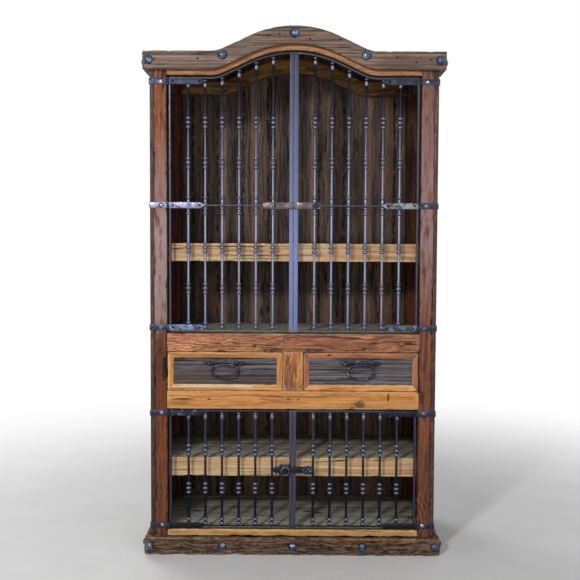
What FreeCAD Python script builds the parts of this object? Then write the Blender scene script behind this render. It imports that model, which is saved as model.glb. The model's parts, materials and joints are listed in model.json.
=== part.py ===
import FreeCAD, Part
import math
import os
import re
import Sketcher

# Trastero cabinet: a reclaimed-wood carcass with an arched crown, two pairs of forged
# grille doors, two drawers, two shelves, and domed nails, straps, pulls and latches.
# The frame: +Z is up and the front faces -Y. X is zero on the centre line, Z is zero on
# the floor, and Y is zero midway between the foremost nail and the back boards.
# All lengths are in millimetres.

SIZES = {
    # The carcass: posts with boards nailed outside them
    "carcass_width": 1160,
    "carcass_depth": 506,
    "side_thick": 16,
    "back_thick": 18,
    "post_wide": 52,
    "post_deep": 55,
    "side_plank_count": 4,
    "back_plank_count": 10,
    # Heights, stacked from the floor up
    "base_tall": 72,
    "bottom_rail_tall": 26,
    "lower_opening_tall": 499,
    "lower_rail_tall": 74,
    "drawer_opening_tall": 161,
    "upper_rail_tall": 74,
    "upper_opening_tall": 1038,
    "header_tall": 66,
    "header_reveal": 18,
    "crown_tall": 72,
    # The base and crown boards
    "base_thick": 28,
    "base_side_thick": 24,
    "crown_thick": 28,
    "crown_side_thick": 24,
    # The arch over the doors: flat, a bend, a straight ramp and a round top
    "arch_rise": 100,
    "arch_half": 335,
    "arch_bend_radius": 128,
    "arch_slope_share": 0.4663,
    "roof_thick": 18,
    # The rails and their tenons
    "rail_thick": 30,
    "tenon_long": 30,
    "tenon_thick": 14,
    "tenon_set": 8,
    "tenon_shoulder": 5,
    # The inner rails that carry the floors
    "inner_rail_thick": 30,
    "inner_rail_tall": 38,
    "top_rail_tall": 60,
    "floor_thick": 18,
    "floor_board_count": 3,
    # The shelves
    "upper_shelf_up": 366,
    "lower_shelf_up": 287,
    "upper_fascia_tall": 74,
    "lower_fascia_tall": 78,
    "fascia_set": 50,
    "fascia_thick": 20,
    "shelf_thick": 18,
    "cleat_wide": 20,
    "cleat_tall": 24,
    # The drawers
    "divider_wide": 81,
    "drawer_gap": 2,
    "moulding_wide": 24,
    "moulding_thick": 8,
    "panel_thick": 16,
    "box_rear_gap": 7,
    "box_tall": 110,
    "box_wall": 12,
    "box_floor": 8,
    "box_floor_up": 4,
    "box_inset": 2,
    "slide_gap": 0.3,
    "runner_wide": 30,
    "runner_thick": 18,
    "centre_runner_wide": 140,
    "guide_wide": 76,
    "guide_tall": 25,
    # The doors: flat bars set on edge, and turned balusters
    "hinge_set": 4,
    "stile_set": 5,
    "bar_deep": 18,
    "bar_wide": 8,
    "mid_bar_tall": 5,
    "upper_meeting_wide": 17,
    "lower_meeting_wide": 13,
    "meeting_gap": 1.5,
    "arch_gap": 8,
    "meeting_top_gap": 1,
    "upper_door_gap": 6,
    "lower_door_gap": 4.5,
    "rod_radius": 4.8,
    "rod_set": 10.5,
    "rod_bite": 2.5,
    "first_rod": 84,
    "rod_count": 6,
    # The beads turned on the balusters
    "disc_radius": 7.5,
    "disc_tall": 12,
    "bell_radius": 9.9,
    "bell_tall": 14,
    "ball_radius": 8,
    "ball_tall": 14,
    "neck_tall": 3,
    "knob_radius": 7,
    "knob_tall": 22,
    "cap_radius": 7.5,
    "cap_tall": 8,
    "end_neck": 4,
    # Where the collars and the joint in an upper rod come, in their run of the door
    "first_collar_share": 0.346,
    "second_collar_share": 0.668,
    "third_collar_share": 0.335,
    "fourth_collar_share": 0.649,
    "rod_joint_share": 0.727,
    "lower_first_collar_share": 0.343,
    "lower_second_collar_share": 0.665,
    # The strap hinges
    "strap_thick": 3,
    "strap_tall": 24,
    "strap_point": 17,
    "strap_reach": 145,
    "strap_wrap": 45,
    "upper_strap_inset": 18,
    "lower_strap_inset": 12.5,
    "knuckle_radius": 4.5,
    "knuckle_tall": 8.8,
    "knuckle_gap": 0.3,
    "pin_radius": 2.5,
    "pin_head_radius": 4,
    "pin_head_tall": 2,
    "running_fit": 0.05,
    "strap_nail_radius": 5,
    "strap_nail_rise": 2.5,
    "strap_nail_edge": 16,
    "post_nail_radius": 11,
    "post_nail_rise": 6,
    "post_nail_in": 21,
    # The domed nails on the crown and the base
    "clavo_radius": 20,
    "base_clavo_radius": 18,
    "clavo_rise": 14,
    "clavo_shank_radius": 4,
    "clavo_shank_long": 22,
    "clavo_end_in": 23,
    "clavo_inner_share": 0.4735,
    "crown_clavo_up": 36,
    "inner_clavo_raise": 10,
    "centre_clavo_raise": 6,
    "base_clavo_up": 37,
    "side_clavo_in": 24,
    # The drawer pulls
    "pull_up_share": 0.702,
    "plate_thick": 3,
    "plate_tall": 26,
    "plate_flat": 140,
    "plate_long": 180,
    "stud_out": 65,
    "stud_radius": 6,
    "stud_long": 14,
    "bail_radius": 4.5,
    "bail_half": 53.5,
    "bail_drop": 62,
    "bail_corner": 40,
    "bail_ball_radius": 5,
    "bail_pin_radius": 3,
    "bail_pin_fit": 0.08,
    "bail_pin_long": 20,
    "bail_axis_out": 11,
    # The latches
    "latch_tall": 26,
    "latch_thick": 7,
    "latch_wall": 1.7,
    "bolt_tall": 20,
    "bolt_thick": 3,
    "bolt_fit": 0.3,
    "bolt_nose_gap": 0.5,
    "socket_deep": 32,
    "case_end": 10,
    "knob_stem_radius": 3,
    "slot_fit": 0.3,
    "rosette_thick": 3,
    "rosette_gap": 0.4,
    "rosette_dome_share": 0.62,
    "rosette_dome_rise": 4,
    "latch_tip": 13,
    "latch_tip_radius": 15,
    "upper_keeper_long": 126,
    "upper_case_long": 108,
    "upper_knob_out": 90,
    "upper_rosette_radius": 18,
    "upper_bolt_travel": 26,
    "lower_keeper_long": 80,
    "lower_case_long": 86,
    "lower_knob_out": 64,
    "lower_rosette_radius": 21,
    "lower_bolt_travel": 20,
    "lower_plate_wide": 46,
    "lower_plate_tall": 46,
    "lower_plate_in": 8,
    # The staples on the keepers, and what hangs in them
    "staple_radius": 2,
    "staple_leg": 5,
    "peg_staple_half": 6.5,
    "ring_staple_half": 4.4,
    "peg_staple_out": 76,
    "ring_staple_out": 29,
    "ring_staple_up": 12.5,
    "peg_radius": 1.9,
    "peg_tip_radius": 1.2,
    "peg_long": 28,
    "peg_head_back": 8,
    "peg_head_radius": 3.4,
    "peg_drop_share": 0.84,
    "ring_radius": 16,
    "ring_thick_radius": 2,
}

doc = FreeCAD.newDocument("Trastero")
sheet = doc.addObject("Spreadsheet::Sheet", "Sizes")
for row, (alias, size) in enumerate(SIZES.items(), start=1):
    sheet.set(f"A{row}", alias)
    sheet.set(f"B{row}", str(size))
    sheet.setAlias(f"B{row}", alias)
doc.recompute()

# Planes and lines that many pieces share, as sums of the named sizes
FRONT = "(crown_thick + clavo_rise - carcass_depth) / 2"
BACK = "(crown_thick + clavo_rise + carcass_depth) / 2"
OUTSIDE = "carcass_width / 2"
POST_OUT = "(carcass_width / 2 - side_thick)"
INNER = "(carcass_width / 2 - side_thick - post_wide)"
BOARDS_FRONT = f"({BACK} - back_thick)"
POST_BACK = f"({FRONT} + post_deep)"
REAR_POST = f"({BOARDS_FRONT} - post_deep)"
RAIL_BACK = f"({FRONT} + rail_thick)"
BACK_RAIL = f"({BOARDS_FRONT} - rail_thick)"

FLOOR_TOP = "(base_tall + bottom_rail_tall)"
LOWER_RAIL = f"({FLOOR_TOP} + lower_opening_tall)"
DRAWER_FLOOR = f"({LOWER_RAIL} + lower_rail_tall)"
UPPER_RAIL = f"({DRAWER_FLOOR} + drawer_opening_tall)"
UPPER_FLOOR = f"({UPPER_RAIL} + upper_rail_tall)"
UPPER_SHELF = f"({UPPER_FLOOR} + upper_shelf_up)"
LOWER_SHELF = f"({FLOOR_TOP} + lower_shelf_up)"
HEADER = f"({UPPER_FLOOR} + upper_opening_tall)"
POST_TOP = f"({HEADER} + header_tall)"
CROWN = f"({HEADER} + header_reveal)"
CROWN_TOP = f"({CROWN} + crown_tall)"

# The arch: from its flats it bends up, runs straight at its slope and rounds over
SLOPE = "sqrt(1 + arch_slope_share ^ 2)"
RAMP_SIN = f"(arch_slope_share / {SLOPE})"
RAMP_COS = f"(1 / {SLOPE})"
RADII = f"((arch_half * {RAMP_SIN} - arch_rise * {RAMP_COS}) / (1 - {RAMP_COS}))"
CROWN_RADIUS = f"({RADII} - arch_bend_radius)"
BEND_IN = f"(arch_half - arch_bend_radius * {RAMP_SIN})"
BEND_UP = f"(arch_bend_radius * (1 - {RAMP_COS}))"
ROUND_IN = f"({CROWN_RADIUS} * {RAMP_SIN})"
ROUND_UP = f"(arch_rise - {CROWN_RADIUS} * (1 - {RAMP_COS}))"

# The doors
HINGE_OUT = f"({INNER} - hinge_set)"
HINGE_Y = f"({FRONT} - knuckle_radius)"
STILE_OUT = f"({HINGE_OUT} - stile_set)"
STILE_IN = f"({STILE_OUT} - bar_wide)"
ROD_PITCH = f"(({STILE_IN} - first_rod) / rod_count)"
MEET = "(meeting_gap / 2)"
UPPER_DOOR = f"({UPPER_FLOOR} + upper_door_gap)"
UPPER_DOOR_TOP = f"({HEADER} - arch_gap)"
LOWER_DOOR = f"({FLOOR_TOP} + lower_door_gap)"
LOWER_DOOR_TOP = f"({LOWER_RAIL} - lower_door_gap)"
HALF_RUN = f"(({UPPER_DOOR_TOP} - {UPPER_DOOR}) / 2)"
MID_LINE = f"({UPPER_DOOR} + {HALF_RUN})"
MID_BAR = f"({MID_LINE} - mid_bar_tall / 2)"
MID_BAR_TOP = f"({MID_LINE} + mid_bar_tall / 2)"
ROD_Y = f"({FRONT} + rod_set)"
LOWER_LATCH = f"(({LOWER_DOOR} + {LOWER_DOOR_TOP}) / 2)"

SIDES = ("left", "right")
FORWARD = FreeCAD.Rotation(FreeCAD.Vector(1, 0, 0), 90)
SIDEWAYS = FreeCAD.Rotation(FreeCAD.Vector(0, 1, 0), 90)
NAMED = re.compile(r"[a-z_]+")
parts = []


def bound(text):
    """Point every size that an expression names at its cell in the sheet."""
    return NAMED.sub(lambda word: "Sizes." + word[0] if word[0] in SIZES else word[0], text)


def value(text):
    """Work an expression out from the sheet, as a plain number."""
    answer = sheet.evalExpression(text)
    return float(getattr(answer, "Value", answer))


def bind(thing, **texts):
    """Bind properties of an object to expressions."""
    for name, text in texts.items():
        thing.setExpression(name, bound(text))
    return thing


def place(thing, across="0", along="0", up="0"):
    """Bind the place of an object, leaving its turn alone."""
    for axis, text in zip("xyz", (across, along, up)):
        thing.setExpression(f"Placement.Base.{axis}", bound(text))
    return thing


def part(thing, label):
    """Name a finished sub-part and put it on the list to be written."""
    thing.Label = label
    parts.append(thing)
    return thing


def mirrored(side, text):
    """A distance from the centre line, on the side asked for."""
    return f"-({text})" if side == "left" else f"({text})"


def span(side, near, far):
    """The left and right ends of a piece that lies between two distances."""
    if side == "left":
        return f"-({far})", f"-({near})"
    return f"({near})", f"({far})"


def board(name, ends, depths, heights):
    """A sawn board between two planes each way."""
    box = doc.addObject("Part::Box", name)
    bind(box, Length=f"({ends[1]}) - ({ends[0]})", Width=f"({depths[1]}) - ({depths[0]})",
         Height=f"({heights[1]}) - ({heights[0]})")
    return place(box, ends[0], depths[0], heights[0])


def rod(name, radius, length, spot, turn=None):
    """A round bar from a spot, upwards or turned to lie forward or sideways."""
    bar = doc.addObject("Part::Cylinder", name)
    if turn is not None:
        bar.Placement = FreeCAD.Placement(FreeCAD.Vector(), turn)
    bind(bar, Radius=radius, Height=length)
    return place(bar, *spot)


def ball(name, radius, spot):
    """A whole ball about a spot."""
    return place(bind(doc.addObject("Part::Sphere", name), Radius=radius), *spot)


def dome(name, radius, rise, spot, turn=FORWARD):
    """A domed nail head, flat side on the spot, rising along its turned axis."""
    cap = doc.addObject("Part::Sphere", name)
    cap.Placement = FreeCAD.Placement(FreeCAD.Vector(), turn)
    curve = f"(({radius}) ^ 2 + ({rise}) ^ 2) / (2 * ({rise}))"
    bind(cap, Radius=curve, Angle1=f"asin(1 - ({rise}) / ({curve}))")
    sink = f"({curve} - ({rise}))"
    back = turn.multVec(FreeCAD.Vector(0, 0, -1))
    places = []
    for text, step in zip(spot, back):
        places.append(f"({text}) + ({sink}) * {round(step)}")
    return place(cap, *places)


def group(name, pieces):
    """Several separate solids as one object."""
    whole = doc.addObject("Part::Compound", name)
    whole.Links = pieces
    return whole


def fused(name, pieces):
    """Several pieces joined into one solid."""
    whole = doc.addObject("Part::MultiFuse", name)
    whole.Shapes = pieces
    return whole


def cut(name, base, tools):
    """A piece with others taken out of it."""
    whole = doc.addObject("Part::Cut", name)
    whole.Base = base
    whole.Tool = tools[0] if len(tools) == 1 else fused(name + "_tools", tools)
    return whole


def plane_of(body, role):
    """One of the origin planes of a body."""
    return next(one for one in body.Origin.OriginFeatures if one.Role == role)


def hold(sketch, kind, first, point, text):
    """Hold a point of a sketch at a bound distance from its origin."""
    index = sketch.addConstraint(Sketcher.Constraint(kind, -1, 1, first, point, value(text)))
    sketch.setExpression(f"Constraints[{index}]", bound(text))


def bound_radius(sketch, edge, text):
    """Hold the radius of an arc at a bound size."""
    index = sketch.addConstraint(Sketcher.Constraint("Radius", edge, value(text)))
    sketch.setExpression(f"Constraints[{index}]", bound(text))


def arc_between(start, end, radius, turn):
    """The short arc from one point to another, turning left for +1 and right for -1."""
    chord = end - start
    height = math.sqrt(max(radius ** 2 - chord.Length ** 2 / 4, 0))
    normal = FreeCAD.Vector(-chord.y, chord.x, 0).normalize() * turn
    centre = (start + end) / 2 + normal * height
    first, last = (start, end) if turn > 0 else (end, start)
    angles = [math.atan2(one.y - centre.y, one.x - centre.x) for one in (first, last)]
    return Part.ArcOfCircle(Part.Circle(centre, FreeCAD.Vector(0, 0, 1), radius), *angles)


def outline(body, name, role, corners):
    """A closed sketch through corners, each (across, up) or (across, up, radius, turn).

    A corner with a radius is reached by an arc, any other by a straight line.
    """
    sketch = body.newObject("Sketcher::SketchObject", name)
    sketch.AttachmentSupport = [(plane_of(body, role), "")]
    sketch.MapMode = "FlatFace"
    spots = [FreeCAD.Vector(value(corner[0]), value(corner[1]), 0) for corner in corners]
    ends = []
    for index, spot in enumerate(spots):
        corner = corners[index]
        start = spots[index - 1]
        if len(corner) == 2:
            sketch.addGeometry(Part.LineSegment(start, spot))
            ends.append((1, 2))
            continue
        sketch.addGeometry(arc_between(start, spot, value(corner[2]), corner[3]))
        ends.append((1, 2) if corner[3] > 0 else (2, 1))
    for index, corner in enumerate(corners):
        after = (index + 1) % len(corners)
        sketch.addConstraint(Sketcher.Constraint("Coincident", index, ends[index][1],
                                                 after, ends[after][0]))
        hold(sketch, "DistanceX", index, ends[index][1], corner[0])
        hold(sketch, "DistanceY", index, ends[index][1], corner[1])
        if len(corner) > 2:
            bound_radius(sketch, index, corner[2])
    return sketch


def slab(name, corners, front, thick):
    """A body cut to an outline seen from the front, from its front plane backwards."""
    body = doc.addObject("PartDesign::Body", name)
    pad = body.newObject("PartDesign::Pad", name + "_pad")
    pad.Profile = outline(body, name + "_outline", "XZ_Plane", corners)
    pad.Reversed = True
    bind(pad, Length=thick)
    body.Tip = pad
    return place(body, "0", front, "0")


def arch_corners(lift, reach, start="0"):
    """The right half of the arch line from the middle outwards, raised by a lift."""
    first_up = f"{lift} + arch_rise - {CROWN_RADIUS} + sqrt({CROWN_RADIUS} ^ 2 - ({start}) ^ 2)"
    return [(start, first_up), (ROUND_IN, f"{lift} + {ROUND_UP}", CROWN_RADIUS, -1),
            (BEND_IN, f"{lift} + {BEND_UP}"), ("arch_half", lift, "arch_bend_radius", 1),
            (reach, lift)]


def turned_about(line):
    """The same line mirrored about the centre and walked from its other end."""
    answer = []
    for index in range(len(line) - 1, -1, -1):
        spot = (f"-({line[index][0]})", line[index][1])
        if index + 1 < len(line) and len(line[index + 1]) > 2:
            spot += line[index + 1][2:]
        answer.append(spot)
    return answer


def whole_arch(lift, reach):
    """The arch line right across the cabinet, from left to right."""
    right = arch_corners(lift, reach)
    return turned_about(right)[:-1] + [right[0] + (CROWN_RADIUS, -1)] + right[1:]


def walked_back(line):
    """The same line walked from its right end to its left."""
    answer = []
    for index in range(len(line) - 1, -1, -1):
        spot = line[index][:2]
        if index + 1 < len(line) and len(line[index + 1]) > 2:
            spot += (line[index + 1][2], -line[index + 1][3])
        answer.append(spot)
    return answer


def roof_line():
    """The joints between the roof planks, right of the centre: (across, height)."""
    half_round = f"({ROUND_IN} / 2)"
    half_up = f"(arch_rise - {CROWN_RADIUS} + sqrt({CROWN_RADIUS} ^ 2 - {half_round} ^ 2))"
    return [("0", "arch_rise"), (half_round, half_up), (ROUND_IN, ROUND_UP),
            (BEND_IN, BEND_UP), ("arch_half", "0"),
            (f"(arch_half + {OUTSIDE}) / 2", "0"), (OUTSIDE, "0")]


def header(label, front):
    """An arched header: its lower edge is the arch, its top is planed for the roof planks."""
    bottom = whole_arch(HEADER, INNER)
    right = [(across, f"{POST_TOP} + {up}") for across, up in roof_line()[:5]]
    top = [(INNER, POST_TOP)] + right[::-1]
    top += [(f"-({across})", up) for across, up in right[1:]] + [(f"-{INNER}", POST_TOP)]
    plank = slab(label + "_plank", bottom + top, front, "rail_thick")
    tenons = []
    for side in SIDES:
        tenons.append(tenon(label, side, f"{front} + tenon_set", HEADER, POST_TOP))
    return part(fused(label, [plank] + tenons), label)


def tenon(name, side, front, bottom, top):
    """The tongue of a rail that sits in a post."""
    return board(f"{name}_{side}_tenon", span(side, INNER, f"{INNER} + tenon_long"),
                 (front, f"{front} + tenon_thick"),
                 (f"{bottom} + tenon_shoulder", f"{top} - tenon_shoulder"))


def rail(label, bottom, top):
    """A front rail between the posts, with a tenon in each."""
    pieces = [board(label + "_rail", (f"-{INNER}", INNER), (FRONT, RAIL_BACK), (bottom, top))]
    for side in SIDES:
        pieces.append(tenon(label, side, f"{FRONT} + tenon_set", bottom, top))
    return part(fused(label, pieces), label)


def post(side, place_name, depths, seats):
    """A corner post with a mortise for each rail seated in it."""
    label = f"{place_name}_{side}_post"
    body = board(label + "_blank", span(side, INNER, POST_OUT), depths, ("0", POST_TOP))
    front = f"{depths[0]} + tenon_set"
    if place_name == "back":
        front = f"{BACK_RAIL} + tenon_set"
    holes = [tenon(f"{label}_{index}", side, front, *seat) for index, seat in enumerate(seats)]
    return part(cut(label, body, holes), label)


def posts():
    """The four corner posts."""
    front_seats = [("base_tall", FLOOR_TOP), (LOWER_RAIL, DRAWER_FLOOR),
                   (UPPER_RAIL, UPPER_FLOOR), (HEADER, POST_TOP)]
    for side in SIDES:
        post(side, "front", (FRONT, POST_BACK), front_seats)
        post(side, "back", (REAR_POST, BOARDS_FRONT), front_seats[-1:])


def front_frame():
    """The rails, the drawer divider and both headers."""
    header("front_header", FRONT)
    header("back_header", BACK_RAIL)
    rail("bottom_rail", "base_tall", FLOOR_TOP)
    rail("lower_mid_rail", LOWER_RAIL, DRAWER_FLOOR)
    rail("upper_mid_rail", UPPER_RAIL, UPPER_FLOOR)
    part(board("drawer_divider_stile", ("-divider_wide / 2", "divider_wide / 2"),
               (FRONT, RAIL_BACK), (DRAWER_FLOOR, UPPER_RAIL)), "drawer_divider")


def inner_rails():
    """The rails behind the boards that carry the floors, the runners and the roof."""
    tops = [f"{FLOOR_TOP} - floor_thick", DRAWER_FLOOR, f"{UPPER_FLOOR} - floor_thick"]
    pieces = []
    for level, top in enumerate(tops):
        heights = (f"{top} - inner_rail_tall", top)
        pieces.append(board(f"back_rail_{level}", (f"-{INNER}", INNER),
                            (BACK_RAIL, BOARDS_FRONT), heights))
        for side in SIDES:
            ends = span(side, f"{POST_OUT} - inner_rail_thick", POST_OUT)
            pieces.append(board(f"{side}_rail_{level}", ends, (POST_BACK, REAR_POST), heights))
    for side in SIDES:
        ends = span(side, f"{POST_OUT} - inner_rail_thick", POST_OUT)
        pieces.append(board(f"{side}_top_rail", ends, (POST_BACK, REAR_POST),
                            (f"{POST_TOP} - top_rail_tall", POST_TOP)))
    part(group("inner_rails", pieces), "inner_rails")


def planks(label, count, start, finish, make):
    """A row of equal planks side by side between two lines."""
    pieces = []
    for index in range(count):
        low = f"{start} + (({finish}) - ({start})) * {index} / {count}"
        high = f"{start} + (({finish}) - ({start})) * {index + 1} / {count}"
        pieces.append(make(f"{label}_{index}", low, high))
    return part(group(label, pieces), label)


def outer_boards():
    """The vertical planks of the two sides and the back."""
    for side in SIDES:
        ends = span(side, POST_OUT, OUTSIDE)
        planks(f"{side}_side_planks", SIZES["side_plank_count"], FRONT, BOARDS_FRONT,
               lambda name, low, high, ends=ends: board(name, ends, (low, high), ("0", POST_TOP)))
    peak = f"{POST_TOP} + arch_rise"
    rough = []
    for index in range(SIZES["back_plank_count"]):
        ends = [f"-{OUTSIDE} + carcass_width * {step} / back_plank_count"
                for step in (index, index + 1)]
        rough.append(board(f"back_plank_{index}", ends, (BOARDS_FRONT, BACK), ("0", peak)))
    right = [(across, f"{POST_TOP} + {up}") for across, up in roof_line()]
    line = [(f"-({across})", up) for across, up in right[:0:-1]] + right
    over = slab("over_roof", line + [(OUTSIDE, f"{peak} + roof_thick"),
                                     (f"-({OUTSIDE})", f"{peak} + roof_thick")],
                BOARDS_FRONT, "back_thick")
    part(cut("back_planks", group("back_planks_rough", rough), [over]), "back_planks")


def roof():
    """The roof planks, front to back over the headers."""
    line = roof_line()
    pieces = []
    for side in SIDES:
        for index in range(len(line) - 1):
            near, far = line[index], line[index + 1]
            corners = [(mirrored(side, near[0]), f"{POST_TOP} + {near[1]}"),
                       (mirrored(side, far[0]), f"{POST_TOP} + {far[1]}"),
                       (mirrored(side, far[0]), f"{POST_TOP} + roof_thick + {far[1]}"),
                       (mirrored(side, near[0]), f"{POST_TOP} + roof_thick + {near[1]}")]
            pieces.append(slab(f"roof_{side}_{index}", corners, FRONT, "carcass_depth"))
    part(group("roof_planks", pieces), "roof_planks")


def floor_strips(name, front, top, thick):
    """The boards of a floor: full width between the posts' faces, narrower beside them."""
    heights = (f"{top} - {thick}", top)
    main = (f"-{POST_OUT}", POST_OUT)
    pieces = []
    for index in range(SIZES["floor_board_count"]):
        edges = [f"{front} + ({REAR_POST} - ({front})) * {step} / floor_board_count"
                 for step in (index, index + 1)]
        pieces.append(board(f"{name}_board_{index}", main, edges, heights))
    pieces.append(board(f"{name}_back_board", (f"-{INNER}", INNER),
                        (REAR_POST, BOARDS_FRONT), heights))
    return pieces


def floors():
    """The bottom floor and the floor of the upper compartment."""
    for label, top in (("bottom_floor", FLOOR_TOP), ("upper_floor", UPPER_FLOOR)):
        pieces = floor_strips(label, POST_BACK, top, "floor_thick")
        pieces.append(board(f"{label}_front_board", (f"-{INNER}", INNER),
                            (RAIL_BACK, POST_BACK), (f"{top} - floor_thick", top)))
        part(group(label, pieces), label)


def shelves():
    """The two shelves, each with a deep fascia, and the cleats under their ends."""
    cleats = []
    for label, top, tall in (("upper_shelf", UPPER_SHELF, "upper_fascia_tall"),
                             ("lower_shelf", LOWER_SHELF, "lower_fascia_tall")):
        face = f"({FRONT} + fascia_set)"
        behind = f"({face} + fascia_thick)"
        pieces = floor_strips(label, behind, top, "shelf_thick")
        pieces.append(board(f"{label}_fascia", (f"-{INNER}", INNER), (face, behind),
                            (f"{top} - {tall}", top)))
        part(group(label, pieces), label)
        under = f"{top} - shelf_thick"
        for side in SIDES:
            cleats.append(board(f"{label}_{side}_cleat",
                                span(side, f"{POST_OUT} - cleat_wide", POST_OUT),
                                (behind, REAR_POST), (f"{under} - cleat_tall", under)))
    part(group("shelf_cleats", cleats), "shelf_cleats")


def drawer_runners():
    """The runners that carry the drawers, and the guide between them."""
    heights = (f"{DRAWER_FLOOR} - runner_thick", DRAWER_FLOOR)
    depths = (RAIL_BACK, BACK_RAIL)
    pieces = [board("centre_runner", ("-centre_runner_wide / 2", "centre_runner_wide / 2"),
                    depths, heights),
              board("centre_guide", ("-guide_wide / 2", "guide_wide / 2"), depths,
                    (DRAWER_FLOOR, f"{DRAWER_FLOOR} + guide_tall"))]
    for side in SIDES:
        pieces.append(board(f"{side}_runner", span(side, f"{INNER} - runner_wide", INNER),
                            depths, heights))
    part(group("drawer_runners", pieces), "drawer_runners")


def clavo(name, radius, spot, turn):
    """A domed nail: its head flat on the wood at a spot, and its shank behind the head."""
    shank = rod(name + "_shank", "clavo_shank_radius", "clavo_shank_long", spot, turn)
    back = turn.multVec(FreeCAD.Vector(0, 0, -1))
    texts = [f"({text}) + clavo_shank_long * {round(step)}" for text, step in zip(spot, back)]
    place(shank, *texts)
    return fused(name, [dome(name + "_head", radius, "clavo_rise", spot, turn), shank])


def clavo_spots(out, sides_up, face, centre_up, inner_up):
    """Where the nails of one board stand: five on its front and two on each end."""
    spots = [(("0", face, centre_up), FORWARD)]
    for side in SIDES:
        inner = mirrored(side, f"clavo_inner_share * {out}")
        spots.append(((inner, face, inner_up), FORWARD))
        spots.append(((mirrored(side, f"{out} - clavo_end_in"), face, sides_up), FORWARD))
    for side, angle in (("left", -90), ("right", 90)):
        turn = FreeCAD.Rotation(FreeCAD.Vector(0, 1, 0), angle)
        for depth in (f"{FRONT} + side_clavo_in", f"{BACK} - side_clavo_in"):
            spots.append(((mirrored(side, out), depth, sides_up), turn))
    return spots


def nailed_boards():
    """The crown and the base, with the domed nails that hold them."""
    face = f"{FRONT} - crown_thick"
    out = f"({OUTSIDE} + crown_side_thick)"
    outer_up = f"{CROWN} + crown_clavo_up"
    centre_up = f"{outer_up} + arch_rise + centre_clavo_raise"
    inner_up = f"{outer_up} + {arch_up(f'clavo_inner_share * {out}')} + inner_clavo_raise"
    crown_spots = clavo_spots(out, outer_up, face, centre_up, inner_up)
    crown = slab("crown_blank", whole_arch(CROWN, out) + walked_back(whole_arch(CROWN_TOP, out)),
                 face, "crown_thick")
    nail_set("crown", "clavo_radius", crown_spots, crown, "crown_side_thick", (CROWN, CROWN_TOP))
    base_face = f"{FRONT} - base_thick"
    base_out = f"({OUTSIDE} + base_side_thick)"
    base_spots = clavo_spots(base_out, "base_clavo_up", base_face, "base_clavo_up",
                             "base_clavo_up")
    base = board("base_blank", (f"-{base_out}", base_out), (base_face, FRONT), ("0", "base_tall"))
    nail_set("base", "base_clavo_radius", base_spots, base, "base_side_thick", ("0", "base_tall"))


def nail_set(name, radius, spots, front_board, side_thick, heights):
    """A front board, its two side boards and their nails, each nail in its own hole."""
    nails = [clavo(f"{name}_nail_{index}", radius, spot, turn)
             for index, (spot, turn) in enumerate(spots)]
    part(cut(f"{name}_front", front_board, nails[:5]), f"{name}_front")
    sides = []
    for index, side in enumerate(SIDES):
        blank = board(f"{name}_{side}_blank", span(side, OUTSIDE, f"{OUTSIDE} + {side_thick}"),
                      (FRONT, BACK), heights)
        sides.append(cut(f"{name}_{side}_side", blank, nails[5 + 2 * index:7 + 2 * index]))
    part(group(f"{name}_sides", sides), f"{name}_sides")
    part(group(f"{name}_clavos", nails), f"{name}_clavos")


def drawer(side):
    """A drawer: its panel, the moulding round it, and its box."""
    label = side + "_drawer"
    near = "(divider_wide / 2 + drawer_gap)"
    far = f"({INNER} - drawer_gap)"
    low = f"({DRAWER_FLOOR} + drawer_gap)"
    high = f"({UPPER_RAIL} - drawer_gap)"
    face = f"({FRONT} + moulding_thick)"
    behind = f"({face} + panel_thick)"
    part(board(label + "_face", span(side, near, far), (face, behind), (low, high)),
         label + "_panel")
    part(group(label + "_frame", moulding(label, side, near, far, low, high)),
         label + "_moulding")
    drawer_box(label, side, (f"{near} + box_inset", f"{far} - box_inset"), behind)


def moulding(label, side, near, far, low, high):
    """The four mitred strips round a drawer's panel."""
    inner = (f"{near} + moulding_wide", f"{far} - moulding_wide",
             f"{low} + moulding_wide", f"{high} - moulding_wide")
    outer_ring = [(near, low), (far, low), (far, high), (near, high)]
    inner_ring = [(inner[0], inner[2]), (inner[1], inner[2]),
                  (inner[1], inner[3]), (inner[0], inner[3])]
    pieces = []
    for index in range(4):
        after = (index + 1) % 4
        corners = [outer_ring[index], outer_ring[after], inner_ring[after], inner_ring[index]]
        corners = [(mirrored(side, across), up) for across, up in corners]
        pieces.append(slab(f"{label}_strip_{index}", corners, FRONT, "moulding_thick"))
    return pieces


def drawer_box(label, side, reach, front):
    """The two walls, the back and the bottom board of a drawer."""
    near, far = reach
    back = f"({REAR_POST} - box_rear_gap)"
    low = f"({DRAWER_FLOOR} + slide_gap)"
    heights = (low, f"{low} + box_tall")
    inside = span(side, f"{near} + box_wall", f"{far} - box_wall")
    pieces = [board(label + "_near_wall", span(side, near, f"{near} + box_wall"),
                    (front, back), heights),
              board(label + "_far_wall", span(side, f"{far} - box_wall", far),
                    (front, back), heights),
              board(label + "_back_wall", inside, (f"{back} - box_wall", back), heights),
              board(label + "_bottom", inside, (front, f"{back} - box_wall"),
                    (f"{low} + box_floor_up", f"{low} + box_floor_up + box_floor"))]
    part(group(label + "_box", pieces), label + "_box")


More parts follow.
